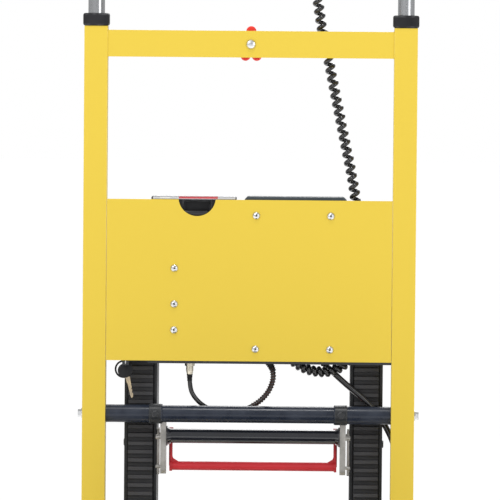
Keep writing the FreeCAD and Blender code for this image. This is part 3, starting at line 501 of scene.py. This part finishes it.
def line_points(points):
    """The points along the NURBS line of a route."""
    bare = nurbs("route", points)
    mesh = bpy.data.meshes.new_from_object(bare)
    line = [vertex.co.copy() for vertex in mesh.vertices]
    bpy.data.meshes.remove(mesh)
    bpy.data.objects.remove(bare)
    return line


def even_steps(line, step):
    """The same line again in equal steps, as (distance, point)."""
    found = [(0.0, line[0])]
    travelled = 0.0
    target = step
    for a, b in zip(line, line[1:]):
        run = (b - a).length
        while run > 0 and travelled + run >= target:
            found.append((target, a.lerp(b, (target - travelled) / run)))
            target += step
        travelled += run
    return found, travelled


def helix_round(line, radius, pitch_at, per_turn=14, step=0.0009, fade=0.02):
    """Points of a helix that winds round a line; the radius grows from nothing at both ends."""
    places, length = even_steps(line, step)
    side = Vector((1, 0, 0))
    phase = 0.0
    wound = []
    next_mark = 0.0
    for (travelled, here), (_, ahead) in zip(places, places[1:]):
        tangent = (ahead - here).normalized()
        side = (side - tangent * side.dot(tangent)).normalized()
        other = tangent.cross(side)
        phase += 2 * math.pi * step / pitch_at(here)
        if phase < next_mark:
            continue
        next_mark += 2 * math.pi / per_turn
        swell = min(1.0, travelled / fade, (length - travelled) / fade)
        swell = swell * swell * (3 - 2 * swell)
        wound.append(here + (side * math.cos(phase) + other * math.sin(phase)) * radius * swell)
    return wound


def mesh_tube(name, path, radius, sides=4, ripple=0.0):
    """A round tube mesh along close points; a ripple makes it swell and shrink like a weld."""
    data = bpy.data.curves.new(name, "CURVE")
    data.dimensions = "3D"
    spline = data.splines.new("POLY")
    spline.points.add(len(path) - 1)
    for number, (point, place) in enumerate(zip(spline.points, path)):
        point.co = (*place, 1)
        point.radius = 1 + ripple * math.sin(number * 2.1)
    data.bevel_depth = radius
    data.bevel_resolution = sides
    data.use_fill_caps = True
    curve = bpy.data.objects.new(name + "_line", data)
    mesh = bpy.data.meshes.new_from_object(curve)
    mesh.name = name
    bpy.data.objects.remove(curve)
    obj = bpy.data.objects.new(name, mesh)
    bpy.context.scene.collection.objects.link(obj)
    return smooth(obj, 50)


# ---------------------------------------------------------------- cords
# Each route is across, behind the posts' front faces, and up, in millimetres.
COIL = [(78, 32, 1384), (80, 33, 1340), (86, 34, 1290), (93, 34, 1240), (99.7, 34, 1190),
        (105.7, 34, 1149), (117, 33, 1100), (124.8, 31, 1061), (132, 28, 1027), (138, 26, 998),
        (144, 24, 970), (151, 23, 938), (159, 22, 895), (163, 22, 850), (164, 22, 800),
        (164, 22, 750), (164, 22, 706), (163.5, 22, 672), (150, 22, 646), (126, 22, 631),
        (98, 22, 631), (75, 22, 640), (56, 22, 655)]
LOOP = [(-89, 34, 624), (-89, 34, 608), (-84, 35, 592), (-68, 36, 576), (-43, 36, 567.5),
        (-14, 36, 569), (11, 36, 579), (29, 36, 596), (37.5, 36, 616), (37, 35, 632), (31, 34, 644)]
LEAD = [(100, 36, 656), (136, 37, 620), (184, 39, 582), (214, 40.2, 540), (227, 40.2, 498),
        (229, 40.2, 430), (229, 40.2, 360), (228, 40.2, 306), (212, 40.2, 268), (176, 40.2, 250),
        (130, 40.2, 244), (80, 40.2, 240), (42, 40.2, 236), (14, 46, 229), (1, 65, 225)]


def route(points):
    return [Vector((x / 1000, FRONT + y / 1000, z / 1000)) for x, y, z in points]


COIL_RADIUS = 0.0052
COIL_WIRE = 0.0068
SLACK_BELOW = 0.70


def coil_pitch(place):
    """The turns lie closer where the cord hangs slack under the panel."""
    return 0.0088 if place.z < SLACK_BELOW else 0.0129


def make_coiled_cord():
    line = route(COIL)
    path = helix_round(line_points(line), COIL_RADIUS, coil_pitch)
    path = [line[0]] + path + [line[-1]]
    cord = mesh_tube("coiled_control_cord", path, COIL_WIRE / 2)
    cord.data.materials.append(CORD_BLACK)
    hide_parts("coiled_cord")
    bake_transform(cord)


def make_loop_cable():
    line = route(LOOP)
    cable = nurbs("battery_loop_cable", line, 0.0035)
    put(cable, CORD_BLACK, "chassis", ["loop_cable"])
    wrap_line = [place for place in line_points(line) if place.x > 0.004 and place.z < 0.640]
    band = helix_round(wrap_line, 0.0037, lambda place: 0.0042, per_turn=16, step=0.0002,
                       fade=0.0008)
    wrap = mesh_tube("cable_spiral_wrap", band, 0.0010, sides=2)
    put(wrap, WRAP_BROWN, "chassis")


def make_motor_lead():
    line = route(LEAD)
    lead = nurbs("motor_lead_cable", line, 0.0045)
    put(lead, CORD_BLACK, "chassis", ["motor_lead"])


make_coiled_cord()
make_loop_cable()
make_motor_lead()

# ---------------------------------------------------------------- materials of the CAD nodes
NODE_MATERIALS = {
    "yellow_paint": YELLOW, "zinc": ZINC, "black_metal": BLACK_METAL, "slate_tube": SLATE,
    "gloss_tube": GLOSS_BLACK, "hanger_steel": DULL_ZINC, "red_paint": RED_METAL,
    "red_plastic": RED_PLASTIC, "black_plastic": BLACK_PLASTIC, "controller_grey": CONTROLLER,
    "nickel": NICKEL, "key_brass": BRASS, "chrome": CHROME, "grip_foam": FOAM,
    "belt_rubber": BELT, "machined_steel": STEEL, "cast_alloy": ALLOY,
    "motor_paint": BLACK_METAL, "wheel_tyre": TYRE, "fork_zinc": ZINC, "seat_vinyl": VINYL,
    "sheet_alloy": SHEET_ALLOY, "cord_black": CORD_BLACK,
}
SLOT_OF = {entry["node"]: entry["material_slot"] for entry in frame["record"]["subparts"]}
BODY_OF = {node_name: body for body, members in frame["record"]["behaviour"]["bodies"].items()
           for node_name in members}
for node_name, node_object in frame["nodes"].items():
    node_object.data.materials.clear()
    node_object.data.materials.append(NODE_MATERIALS[SLOT_OF[node_name]])


# ---------------------------------------------------------------- eased copies of sharp pieces
EASED = {
    "post_left": 0.0016, "post_right": 0.0016, "top_crossbar": 0.0012, "back_panel": 0.0004,
    "post_caps": 0.0030, "control_unit": 0.0030, "control_rocker": 0.0012,
    "controller": 0.0014, "battery": 0.0020, "hanger_left": 0.0010, "hanger_right": 0.0010,
    "rear_crossbar": 0.0012, "base_frame": 0.0010, "front_stand": 0.0010,
    "axle_plate_left": 0.0008, "axle_plate_right": 0.0008, "gearbox": 0.0020,
    "footplate": 0.0008, "caster_fork_left": 0.0010, "caster_fork_right": 0.0010,
    "track_plate_inner_left": 0.0008, "track_plate_inner_right": 0.0008,
    "track_plate_outer_left": 0.0008, "track_plate_outer_right": 0.0008,
    "release_bail": 0.0008, "clamp_knob": 0.0022, "track_keeper": 0.0008, "key_hook": 0.0004,
    "cross_collars": 0.0008, "box_cover": 0.0003, "seat_pan": 0.0005,
}
for node_name, width in EASED.items():
    shell = eased(node_name, width)
    put(shell, NODE_MATERIALS[SLOT_OF[node_name]], BODY_OF[node_name],
        [node_name])


# ---------------------------------------------------------------- small hardware


def polygon_plate(name, outline, y_low, y_high):
    """A flat plate cut to an outline of (x, z) points in millimetres."""
    bm = bmesh.new()
    face = bm.faces.new([bm.verts.new((x / 1000, y_low, z / 1000)) for x, z in outline])
    grown = bmesh.ops.extrude_face_region(bm, geom=[face])
    moved = [item for item in grown["geom"] if isinstance(item, bmesh.types.BMVert)]
    bmesh.ops.translate(bm, vec=(0, y_high - y_low, 0), verts=moved)
    bmesh.ops.recalc_face_normals(bm, faces=bm.faces)
    return smooth(new_object(name, bm))


def hex_head(name, centre, axis, flats, tall):
    bm = bmesh.new()
    reach = flats / math.sqrt(3)
    bmesh.ops.create_cone(bm, cap_ends=True, segments=6, radius1=reach, radius2=reach * 0.94,
                          depth=tall)
    bmesh.ops.transform(bm, matrix=Matrix.Translation(centre) @ AXES[axis], verts=bm.verts)
    return smooth(new_object(name, bm), 20)


def boot(name, place, toward, length, wide, narrow, body):
    """A ribbed strain relief that tapers along a cord from the housing that it leaves."""
    steps = 4
    outline = [(0, -0.001), (wide, -0.001), (wide, 0.002)]
    for number in range(steps):
        share = (number + 1) / steps
        rib = wide + (narrow - wide) * share
        end = 0.002 + (length - 0.002) * share
        outline += [(rib * 0.86, end - length * 0.17), (rib * 0.86, end - length * 0.12),
                    (rib, end - length * 0.10), (rib, end)]
    outline.append((0, length))
    relief = turned(name, outline, "z", (0, 0, 0), steps=24)
    turn = (Vector(toward) - Vector(place)).to_track_quat("Z", "Y").to_matrix().to_4x4()
    relief.data.transform(Matrix.Translation(place) @ turn)
    return put(relief, BLACK_PLASTIC, body)


def bead(start, end, radius=0.0012, step=0.0011):
    """A straight run of weld."""
    start, end = Vector(start), Vector(end)
    count = max(3, int((end - start).length / step))
    path = [start.lerp(end, number / count) for number in range(count + 1)]
    return mesh_tube("weld_run", path, radius, sides=2, ripple=0.16)


def circle(centre, reach, axis, steps):
    """Points round a circle that faces along x or along y."""
    points = []
    for number in range(steps + 1):
        angle = 2 * math.pi * number / steps
        across = reach * math.cos(angle)
        up = reach * math.sin(angle)
        offset = Vector((across, 0, up)) if axis == "y" else Vector((0, across, up))
        points.append(Vector(centre) + offset)
    return points


def ring_bead(x, centre_y, centre_z, reach, radius=0.0013):
    """A weld that runs round a cross tube."""
    path = circle((x, centre_y, centre_z), reach, "x", 64)
    return mesh_tube("weld_ring", path, radius, sides=2, ripple=0.2)


# Each rivet is across and up in millimetres; an outline is out from the axis and along it.
RIVETS = [(10, 867), (122, 867), (10, 666), (122, 666), (-112.5, 787), (-112.5, 733), (-112.5, 694)]
RIVET_OUTLINE = [(0, -0.0008), (0.0015, -0.0008), (0.0015, -0.0031), (0.0020, -0.0034),
                 (0.0032, -0.0032), (0.0045, -0.0025), (0.0054, -0.0014), (0.0060, 0),
                 (0.0024, 0.0001), (0.0024, 0.0029), (0, 0.0029)]
RIVET_CORE = [(0, -0.0014), (0.0013, -0.0012), (0.0013, -0.0007), (0, -0.0007)]


def make_rivets():
    heads = []
    cores = []
    for x, z in RIVETS:
        place = (x / 1000, FRONT, z / 1000)
        heads.append(turned("rivet_head", RIVET_OUTLINE, "y", place, steps=28))
        cores.append(turned("rivet_core", RIVET_CORE, "y", place, steps=16))
    put(joined("rivet_heads", heads), ZINC, "chassis", ["panel_rivets"])
    put(joined("rivet_cores", cores), BLACK_METAL, "chassis")


KEY_BEHIND = 0.010
BOW_CENTRE = Vector((-0.188, FRONT + KEY_BEHIND, 0.6335))
BOW_REACH = 0.0122
BOW_RIM = 0.0014
BOW_DISC = [(0, -0.0021), (0.0092, -0.0021), (0.0106, -0.0014), (0.0110, 0), (0.0106, 0.0014),
            (0.0092, 0.0021), (0, 0.0021)]
DISC_OFFSET = Vector((0.0020, 0, -0.0022))
KEY_NECK = [(-186.5, 625), (-178.5, 622), (-176.6, 611), (-182.8, 612.5)]
NECK_HALF = 0.0013
KEY_BLADE = [(-182.4, 613), (-177.0, 611.5), (-175.6, 606), (-176.4, 604.4), (-174.8, 602),
             (-175.4, 599), (-173.4, 596), (-173.6, 592), (-175.6, 590), (-177.6, 593.5)]
BLADE_HALF = 0.0009
KEY_RING_CENTRE = Vector((-0.185, FRONT + KEY_BEHIND - 0.002, 0.6455))
KEY_RING_REACH = 0.0062
KEY_RING_WIRE = 0.0009


def make_key():
    y = FRONT + KEY_BEHIND
    bow = mesh_tube("bow_rim", circle(BOW_CENTRE, BOW_REACH, "y", 48), BOW_RIM)
    disc = turned("bow_disc", BOW_DISC, "y", BOW_CENTRE + DISC_OFFSET)
    put(joined("key_bow", [bow, disc]), BLACK_PLASTIC, "key", ["spare_key"])
    neck = polygon_plate("key_neck", KEY_NECK, y - NECK_HALF, y + NECK_HALF)
    blade = polygon_plate("key_blade", KEY_BLADE, y - BLADE_HALF, y + BLADE_HALF)
    put(joined("key_shank", [neck, blade]), BRASS, "key")
    ring = mesh_tube("key_ring", circle(KEY_RING_CENTRE, KEY_RING_REACH, "x", 40), KEY_RING_WIRE)
    put(ring, ZINC, "key")


LABEL_SPAN = (-0.1455, -0.0215)
STRIPE_SPAN = (-0.1065, -0.0480)
PATCH_SPAN = (-0.1350, -0.1200)
LABEL_THICK = 0.0004
LABEL_PROUD = 0.0003
GRIP_SPAN = (-0.101, -0.063)
GRIP_HEIGHTS = (0.867, 0.8735)
PLATE_SPAN = (-0.090, -0.020)
PLATE_HEIGHTS = (0.800, 0.842)
PLATE_LINE_SPAN = (-0.086, -0.024)
PLATE_LINE_HEIGHTS = (0.832, 0.838)


def make_labels():
    low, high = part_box("battery")
    face = low.y
    band = block("battery_label", (LABEL_SPAN[0], face - LABEL_THICK, PANEL_HIGH.z + LABEL_THICK),
                 (LABEL_SPAN[1], face + LABEL_THICK, high.z - LABEL_THICK))
    cap = block("battery_label_top", (LABEL_SPAN[0], face + 0.002, high.z - LABEL_PROUD),
                (LABEL_SPAN[1], face + 0.026, high.z + LABEL_PROUD))
    put(joined("battery_labels", [band, cap]), LABEL_SILVER, "battery_pack")
    stripe = block("battery_stripe", (STRIPE_SPAN[0], face - 0.0006, high.z - 0.0028),
                   (STRIPE_SPAN[1], face + 0.0002, high.z - 0.0002))
    top = block("battery_stripe_top", (STRIPE_SPAN[0], face + 0.004, high.z + 0.0002),
                (STRIPE_SPAN[1], face + 0.012, high.z + 0.0005))
    put(joined("battery_stripes", [stripe, top]), LABEL_RED, "battery_pack")
    patch = block("battery_patch", (PATCH_SPAN[0], face - 0.0006, high.z - 0.0030),
                  (PATCH_SPAN[1], face + 0.0002, high.z - 0.0008))
    put(patch, LABEL_WHITE, "battery_pack")
    grip = block("battery_grip", (GRIP_SPAN[0], face - 0.0014, GRIP_HEIGHTS[0]),
                 (GRIP_SPAN[1], face + 0.001, GRIP_HEIGHTS[1]), 0.001)
    put(grip, BLACK_METAL, "battery_pack")
    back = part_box("box_cover")[1].y
    plate = block("box_plate", (PLATE_SPAN[0], back - 0.0002, PLATE_HEIGHTS[0]),
                  (PLATE_SPAN[1], back + 0.0005, PLATE_HEIGHTS[1]), 0.0002)
    put(plate, LABEL_SILVER, "chassis")
    line = block("box_plate_line", (PLATE_LINE_SPAN[0], back + 0.0004, PLATE_LINE_HEIGHTS[0]),
                 (PLATE_LINE_SPAN[1], back + 0.0008, PLATE_LINE_HEIGHTS[1]))
    put(line, LABEL_RED, "chassis")


LOUVRES = 7
LOUVRE_SPAN = (0.030, 0.104)
LOUVRE_START = 0.700
LOUVRE_PITCH = 0.011
LOUVRE_TALL = 0.004


def make_box_details():
    low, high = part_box("box_cover")
    louvres = []
    for number in range(LOUVRES):
        z = LOUVRE_START + LOUVRE_PITCH * number
        louvres.append(block("louvre", (LOUVRE_SPAN[0], high.y - 0.0008, z),
                             (LOUVRE_SPAN[1], high.y + 0.0016, z + LOUVRE_TALL), 0.0007))
    put(joined("box_louvres", louvres), BLACK_METAL, "chassis")
    screws = []
    for x in (low.x + 0.014, high.x - 0.014):
        for z in (low.z + 0.024, high.z - 0.016):
            screws.append(hex_head("box_screw", (x, high.y + 0.0012, z), "y", 0.008, 0.003))
    put(joined("box_screws", screws), ZINC, "chassis")


def make_welds():
    runs = []
    for word, sign in SIDES:
        x = sign * (POST_IN + 0.0001)
        for y in (BAR_LOW.y + 0.0002, BAR_HIGH.y):
            runs.append(bead((x, y, BAR_LOW.z + 0.001), (x, y, BAR_HIGH.z - 0.001), 0.0010))
        for z in (BAR_LOW.z, BAR_HIGH.z):
            runs.append(bead((x, BAR_LOW.y + 0.001, z), (x, BAR_HIGH.y - 0.001, z), 0.0010))
        base_low, base_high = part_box("base_frame")
        stand_low, stand_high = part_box("front_stand")
        tube = POST_OUT - POST_IN
        back = base_low.y + tube
        for low, high in ((base_low.z, base_high.z), (stand_high.z - tube, stand_high.z)):
            runs.append(bead((x, back, low + 0.002), (x, back, high - 0.002)))
        runs.append(bead((x, base_low.y + 0.002, base_high.z), (x, back - 0.002, base_high.z)))
        runs.append(bead((x, stand_low.y + 0.002, stand_high.z - tube),
                         (x, back - 0.002, stand_high.z - tube)))
        for reach in (POST_IN, POST_OUT):
            runs.append(bead((sign * reach, FRONT, base_low.z + 0.002),
                             (sign * reach, FRONT, base_high.z - 0.002)))
    put(joined("frame_welds", runs), YELLOW, "chassis")
    rings = []
    collar_low, collar_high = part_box("cross_collars")
    for word, sign in SIDES:
        inner = sign * (collar_high.x - 0.0187)
        rings.append(ring_bead(inner, POST_MID_Y, CROSS_Z, 0.0136))
    put(joined("collar_welds", rings), SLATE, "chassis")
    ends = []
    spread_low, spread_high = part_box("spreader_tube")
    spread_y = FRONT + 0.024
    spread_z = (spread_low.z + spread_high.z) / 2
    for x in (spread_low.x + 0.0012, spread_high.x - 0.0012):
        ends.append(ring_bead(x, spread_y, spread_z, 0.0140, 0.0011))
    put(joined("spreader_welds", ends), GLOSS_BLACK, "chassis")


def make_plugs():
    """Moulded plugs in the open ends of the frame's tubes."""
    rail_low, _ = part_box("base_frame")
    _, stand_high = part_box("front_stand")
    tube = POST_OUT - POST_IN
    plugs = []
    for word, sign in SIDES:
        xs = sorted((sign * (POST_IN + 0.0008), sign * (POST_OUT - 0.0008)))
        plugs.append(block("rail_plug", (xs[0], rail_low.y - 0.002, rail_low.z + 0.0008),
                           (xs[1], rail_low.y + 0.004, rail_low.z + tube - 0.0008), 0.001))
        plugs.append(block("leg_plug", (xs[0], rail_low.y + 0.0008, stand_high.z - 0.004),
                           (xs[1], rail_low.y + tube - 0.0008, stand_high.z + 0.002), 0.001))
        plugs.append(block("post_plug", (xs[0], FRONT + 0.0008, POST_LOW.z - 0.002),
                           (xs[1], FRONT + tube - 0.0008, POST_LOW.z + 0.004), 0.001))
    put(joined("tube_plugs", plugs), BLACK_PLASTIC, "chassis")


# ---------------------------------------------------------------- wheels


def make_wheel(node_name, body, bore, hub, grooves):
    """A rubber tyre on a ribbed grey centre."""
    low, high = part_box(node_name)
    centre = (low + high) / 2
    radius = (high.z - low.z) / 2
    half = (high.x - low.x) / 2
    rim = radius * 0.68
    tread = [(radius, half - 0.008)]
    for place in grooves:
        tread += [(radius, place + 0.0012), (radius - 0.0014, place + 0.0007),
                  (radius - 0.0014, place - 0.0007), (radius, place - 0.0012)]
    tread.append((radius, -half + 0.008))
    shoulder = [(rim, half - 0.003), (rim + 0.0025, half - 0.0008), (radius - 0.010, half - 0.0006),
                (radius - 0.0085, half - 0.0014), (radius - 0.0035, half - 0.0030),
                (radius - 0.0010, half - 0.0056)]
    outline = shoulder + tread + [(reach, -along) for reach, along in reversed(shoulder)]
    tyre = turned(node_name + "_tyre", outline, "x", centre, steps=72, closed=True)
    put(tyre, TYRE, body, [node_name])
    face = [(bore, half - 0.0005), (hub - 0.0015, half - 0.0005), (hub, half - 0.002),
            (hub + 0.001, half * 0.45), (rim - 0.006, half * 0.45), (rim - 0.003, half - 0.004),
            (rim + 0.001, half - 0.0035)]
    outline = face + [(reach, -along) for reach, along in reversed(face)]
    pieces = [turned("wheel_centre", outline, "x", centre, steps=48, closed=True)]
    spokes = 6
    for number in range(spokes):
        turn = Matrix.Rotation(2 * math.pi * number / spokes, 4, "X")
        spoke = block("wheel_rib", (-half * 0.78, -0.0014, hub), (half * 0.78, 0.0014, rim - 0.003),
                      0.0006)
        spoke.data.transform(Matrix.Translation(centre) @ turn)
        pieces.append(spoke)
    put(joined(node_name + "_centre", pieces), HUB, body)


# ---------------------------------------------------------------- handle, motor and footplate
GRIPS = ((-0.165, -0.010), (0.122, 0.165))


def make_grips():
    pieces = []
    for low, high in GRIPS:
        outline = [(0.0130, 0.0002), (0.0168, 0.0002), (0.0175, 0.001), (0.0175, 0.004),
                   (0.0166, 0.005)]
        place = 0.007
        while place < high - low - 0.008:
            outline += [(0.0166, place), (0.0171, place + 0.0008), (0.0171, place + 0.0030),
                        (0.0166, place + 0.0038)]
            place += 0.0052
        end = high - low
        outline += [(0.0166, end - 0.005), (0.0175, end - 0.004), (0.0175, end - 0.001),
                    (0.0168, end - 0.0002), (0.0130, end - 0.0002)]
        pieces.append(turned("grip", outline, "x", (low, POST_MID_Y, HANDLE_TOP), steps=32,
                             closed=True))
    put(joined("ribbed_grips", pieces), FOAM, "handle", ["hand_grips"])


def make_unit_details():
    front, back = UNIT_LOW.y, UNIT_HIGH.y
    screws = []
    for x in (UNIT_LOW.x + 0.008, UNIT_HIGH.x - 0.008):
        for z in (UNIT_LOW.z + 0.018, UNIT_LOW.z + 0.068):
            screws.append(hex_head("unit_screw", (x, front - 0.0004, z), "y", 0.006, 0.0016))
    put(joined("unit_screws", screws), ZINC, "handle")
    bezel = []
    for low, high in (((0.0625, 0.0655), (0.0105, 0.0455)), ((0.0925, 0.0955), (0.0105, 0.0455)),
                      ((0.0625, 0.0955), (0.0105, 0.0135)), ((0.0625, 0.0955), (0.0425, 0.0455))):
        bezel.append(block("bezel", (low[0], back - 0.0006, UNIT_LOW.z + high[0]),
                           (low[1], back + 0.0014, UNIT_LOW.z + high[1]), 0.0005))
    put(joined("rocker_bezel", bezel), BLACK_METAL, "handle")
    lamp = turned("unit_lamp", [(0, 0.0022), (0.0016, 0.0018), (0.0024, 0.0008), (0.0024, -0.001),
                                (0, -0.001)], "y", (0.079, back, UNIT_LOW.z + 0.060), steps=20)
    put(lamp, RED_PLASTIC, "handle")
    buttons = []
    for word, sign in SIDES:
        buttons.append(turned("tube_button", [(0, -0.0028), (0.0020, -0.0024), (0.0034, -0.0010),
                                              (0.0036, 0.0012), (0, 0.0012)], "y",
                              (sign * (POST_IN + POST_OUT) / 2, POST_MID_Y - 0.0125, 1.262),
                              steps=20))
    put(joined("tube_buttons", buttons), ZINC, "handle")


def make_drive_details():
    bolts = []
    for sign in (-1, 1):
        for y in (-0.026, 0.026):
            for z in (-0.026, 0.026):
                bolts.append(hex_head("case_bolt", (sign * 0.0375, AXLE_Y + y, AXLE_Z + z), "x",
                                      0.008, 0.004))
    for word, sign in SIDES:
        bolts.append(hex_head("axle_nut", (sign * (POST_OUT + 0.0058), AXLE_Y, AXLE_Z), "x", 0.015,
                              0.0045))
    put(joined("drive_bolts", bolts), ZINC, "chassis")
    bm = bmesh.new()
    verts = [bm.verts.new((0.0305, 0, z)) for z in (-0.012, 0.012)]
    spun = bmesh.ops.spin(bm, geom=verts + [bm.edges.new(verts)], cent=(0, 0, 0), axis=(0, 0, 1),
                          angle=math.radians(62), steps=12)
    bmesh.ops.transform(bm, matrix=Matrix.Translation((0, AXLE_Y, AXLE_Z + 0.085))
                        @ Matrix.Rotation(math.radians(59), 4, "Z"), verts=bm.verts)
    plate = new_object("motor_plate", bm)
    thick = plate.modifiers.new("thick", "SOLIDIFY")
    thick.thickness = 0.0005
    thick.offset = 0
    put(plate, LABEL_SILVER, "chassis")


GRIT_STRIPS = 4
GRIT_START = 0.0215
GRIT_PITCH = 0.017
GRIT_WIDE = 0.008
GRIT_INSET = 0.016
GRIT_HEIGHTS = (0.1418, 0.1427)


def make_footplate_grit():
    low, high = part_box("footplate")
    strips = []
    for number in range(GRIT_STRIPS):
        start = low.y + GRIT_START + GRIT_PITCH * number
        strips.append(block("grit", (low.x + GRIT_INSET, start, GRIT_HEIGHTS[0]),
                            (high.x - GRIT_INSET, start + GRIT_WIDE, GRIT_HEIGHTS[1])))
    put(joined("footplate_grit", strips), GRIP_TAPE, "foot")


# ---------------------------------------------------------------- seat cushion
CUSHION_INSET = 0.007
CUSHION_VOXEL = 0.006
CUSHION_CAP = 0.012
CLOTH_FRAMES = 20
CLOTH_PRESSURE = 4
SEAM_IN = 0.052
CHANNEL_DEEP = 0.0030
CHANNEL_WIDE = 0.006
PIPING_RADIUS = 0.0021
PIPING_SHARES = (0.74, 0.18)


def rounded_loop(half_x, half_y, radius, step):
    """Points round a rectangle with round corners, each with its outward direction."""
    found = []
    corners = ((1, 1, 0), (-1, 1, 90), (-1, -1, 180), (1, -1, 270))
    for number, (sx, sy, start) in enumerate(corners):
        centre = Vector((sx * (half_x - radius), sy * (half_y - radius), 0))
        turns = max(3, int(radius * math.pi / 2 / step))
        for turn in range(turns + 1):
            angle = math.radians(start + 90 * turn / turns)
            out = Vector((math.cos(angle), math.sin(angle), 0))
            found.append((centre + out * radius, out))
        nx, ny, _ = corners[(number + 1) % 4]
        next_centre = Vector((nx * (half_x - radius), ny * (half_y - radius), 0))
        here, out = found[-1]
        goal = next_centre + out * radius
        runs = int((goal - here).length / step)
        found += [(here.lerp(goal, run / runs), out) for run in range(1, runs)]
    return found


def inflate(pad, floor_z):
    """Blows the pad up as cloth with its underside held, then caps how far it moved."""
    held = pad.vertex_groups.new(name="held")
    held.add([v.index for v in pad.data.vertices if v.co.z < floor_z + 0.003], 1.0, "REPLACE")
    rest = [v.co.copy() for v in pad.data.vertices]
    cloth = pad.modifiers.new("cloth", "CLOTH")
    cloth.settings.quality = 6
    cloth.settings.mass = 0.25
    cloth.settings.use_pressure = True
    cloth.settings.uniform_pressure_force = CLOTH_PRESSURE
    cloth.settings.effector_weights.gravity = 0
    cloth.settings.vertex_group_mass = "held"
    for number in range(1, CLOTH_FRAMES + 1):
        bpy.context.scene.frame_set(number)
    blown = bpy.data.meshes.new_from_object(
        pad.evaluated_get(bpy.context.evaluated_depsgraph_get()))
    bpy.context.scene.frame_set(1)
    pad.modifiers.clear()
    pad.vertex_groups.clear()
    pad.data = blown
    for vertex, start in zip(blown.vertices, rest):
        moved = vertex.co - start
        if moved.length > CUSHION_CAP:
            moved *= CUSHION_CAP / moved.length
        vertex.co = start + moved
        vertex.co.z = max(vertex.co.z, floor_z)


def make_cushion():
    low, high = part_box("seat_cushion")
    middle = (low + high) / 2
    inset = Vector((CUSHION_INSET, CUSHION_INSET, 0))
    pad = block("seat_cushion_pad", low + inset, high - inset - Vector((0, 0, 0.006)), 0.010, 4)
    remesh = pad.modifiers.new("remesh", "REMESH")
    remesh.mode = "VOXEL"
    remesh.voxel_size = CUSHION_VOXEL
    even = bpy.data.meshes.new_from_object(
        pad.evaluated_get(bpy.context.evaluated_depsgraph_get()))
    pad.modifiers.clear()
    pad.data = even
    inflate(pad, low.z)
    half_x = (high.x - low.x) / 2
    half_y = (high.y - low.y) / 2
    for vertex in pad.data.vertices:
        away = vertex.co - middle
        if vertex.co.z < middle.z:
            continue
        dx, dy = abs(away.x) - (half_x - SEAM_IN), abs(away.y) - (half_y - SEAM_IN)
        near = max(dx, dy) if min(dx, dy) < 0 else math.hypot(dx, dy)
        vertex.co.z -= CHANNEL_DEEP * math.exp(-(near / CHANNEL_WIDE) ** 2)
    fine = pad.modifiers.new("fine", "SUBSURF")
    fine.levels = 1
    fine.render_levels = 1
    rounded = bpy.data.meshes.new_from_object(
        pad.evaluated_get(bpy.context.evaluated_depsgraph_get()))
    pad.modifiers.clear()
    pad.data = rounded
    for polygon in rounded.polygons:
        polygon.use_smooth = True
    skin = BVHTree.FromPolygons([v.co for v in rounded.vertices],
                                [polygon.vertices for polygon in rounded.polygons])
    put(pad, VINYL, "seat", ["seat_cushion"])
    piping = []
    for share in PIPING_SHARES:
        height = low.z + (high.z - low.z) * share
        path = []
        for place, out in rounded_loop(half_x + 0.02, half_y + 0.02, 0.035, 0.004):
            start = Vector((middle.x + place.x, middle.y + place.y, height)) + out * 0.03
            hit = skin.ray_cast(start, -out)[0]
            if hit is not None:
                path.append(hit)
        piping.append(mesh_tube("piping", path + path[:1], PIPING_RADIUS))
    put(joined("cushion_piping", piping), VINYL, "seat")
    stitches = []
    loop = rounded_loop(half_x - SEAM_IN, half_y - SEAM_IN, 0.006, 0.007)
    for (place, out), (ahead, _) in zip(loop, loop[1:] + loop[:1]):
        start = Vector((middle.x + place.x, middle.y + place.y, high.z + 0.05))
        hit = skin.ray_cast(start, Vector((0, 0, -1)))[0]
        along = (ahead - place).normalized()
        if hit is None or along.length < 0.5:
            continue
        stitch = block("stitch", (-0.0021, -0.0005, -0.0004), (0.0021, 0.0005, 0.0005))
        turn = Matrix.Rotation(math.atan2(along.y, along.x), 4, "Z")
        stitch.data.transform(Matrix.Translation(hit) @ turn)
        stitches.append(stitch)
    put(joined("cushion_stitches", stitches), THREAD, "seat")


GRIPS_LOW, GRIPS_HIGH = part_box("hand_grips")
HANDLE_TOP = (GRIPS_LOW.z + GRIPS_HIGH.z) / 2
make_rivets()
make_key()
make_labels()
make_box_details()
make_welds()
make_plugs()
for word, sign in SIDES:
    make_wheel("rear_wheel_" + word, "wheel_" + word[0], 0.0083, 0.022, (-0.0048, 0, 0.0048))
    make_wheel("caster_wheel_" + word, "caster_" + word[0], 0.0053, 0.013, ())
make_grips()
make_unit_details()
make_drive_details()
make_footplate_grit()
make_cushion()
coil_line, loop_line, lead_line = route(COIL), route(LOOP), route(LEAD)
boot("coil_boot_top", coil_line[0] + Vector((0, 0, 0.001)), coil_line[1], 0.022, 0.0085, 0.0052,
     "handle")
boot("coil_boot_low", coil_line[-1], coil_line[-2], 0.016, 0.0085, 0.0055, "chassis")
boot("loop_boot", loop_line[-1] + Vector((0, 0, -0.0005)), loop_line[-2], 0.015, 0.0062, 0.0042,
     "chassis")
boot("gland_boot", loop_line[0] + Vector((0, 0, 0.001)), loop_line[1], 0.010, 0.0045, 0.0039,
     "chassis")
boot("lead_boot_top", lead_line[0], lead_line[1], 0.020, 0.0085, 0.0053, "chassis")
boot("lead_boot_low", lead_line[-1], lead_line[-2], 0.014, 0.0075, 0.0053, "chassis")


def add_floor():
    bm = bmesh.new()
    bmesh.ops.create_circle(bm, cap_ends=True, segments=64, radius=30)
    floor = new_object("floor", bm)
    floor.location.z = -0.0005
    floor.data.materials.append(FLOOR)


add_floor()
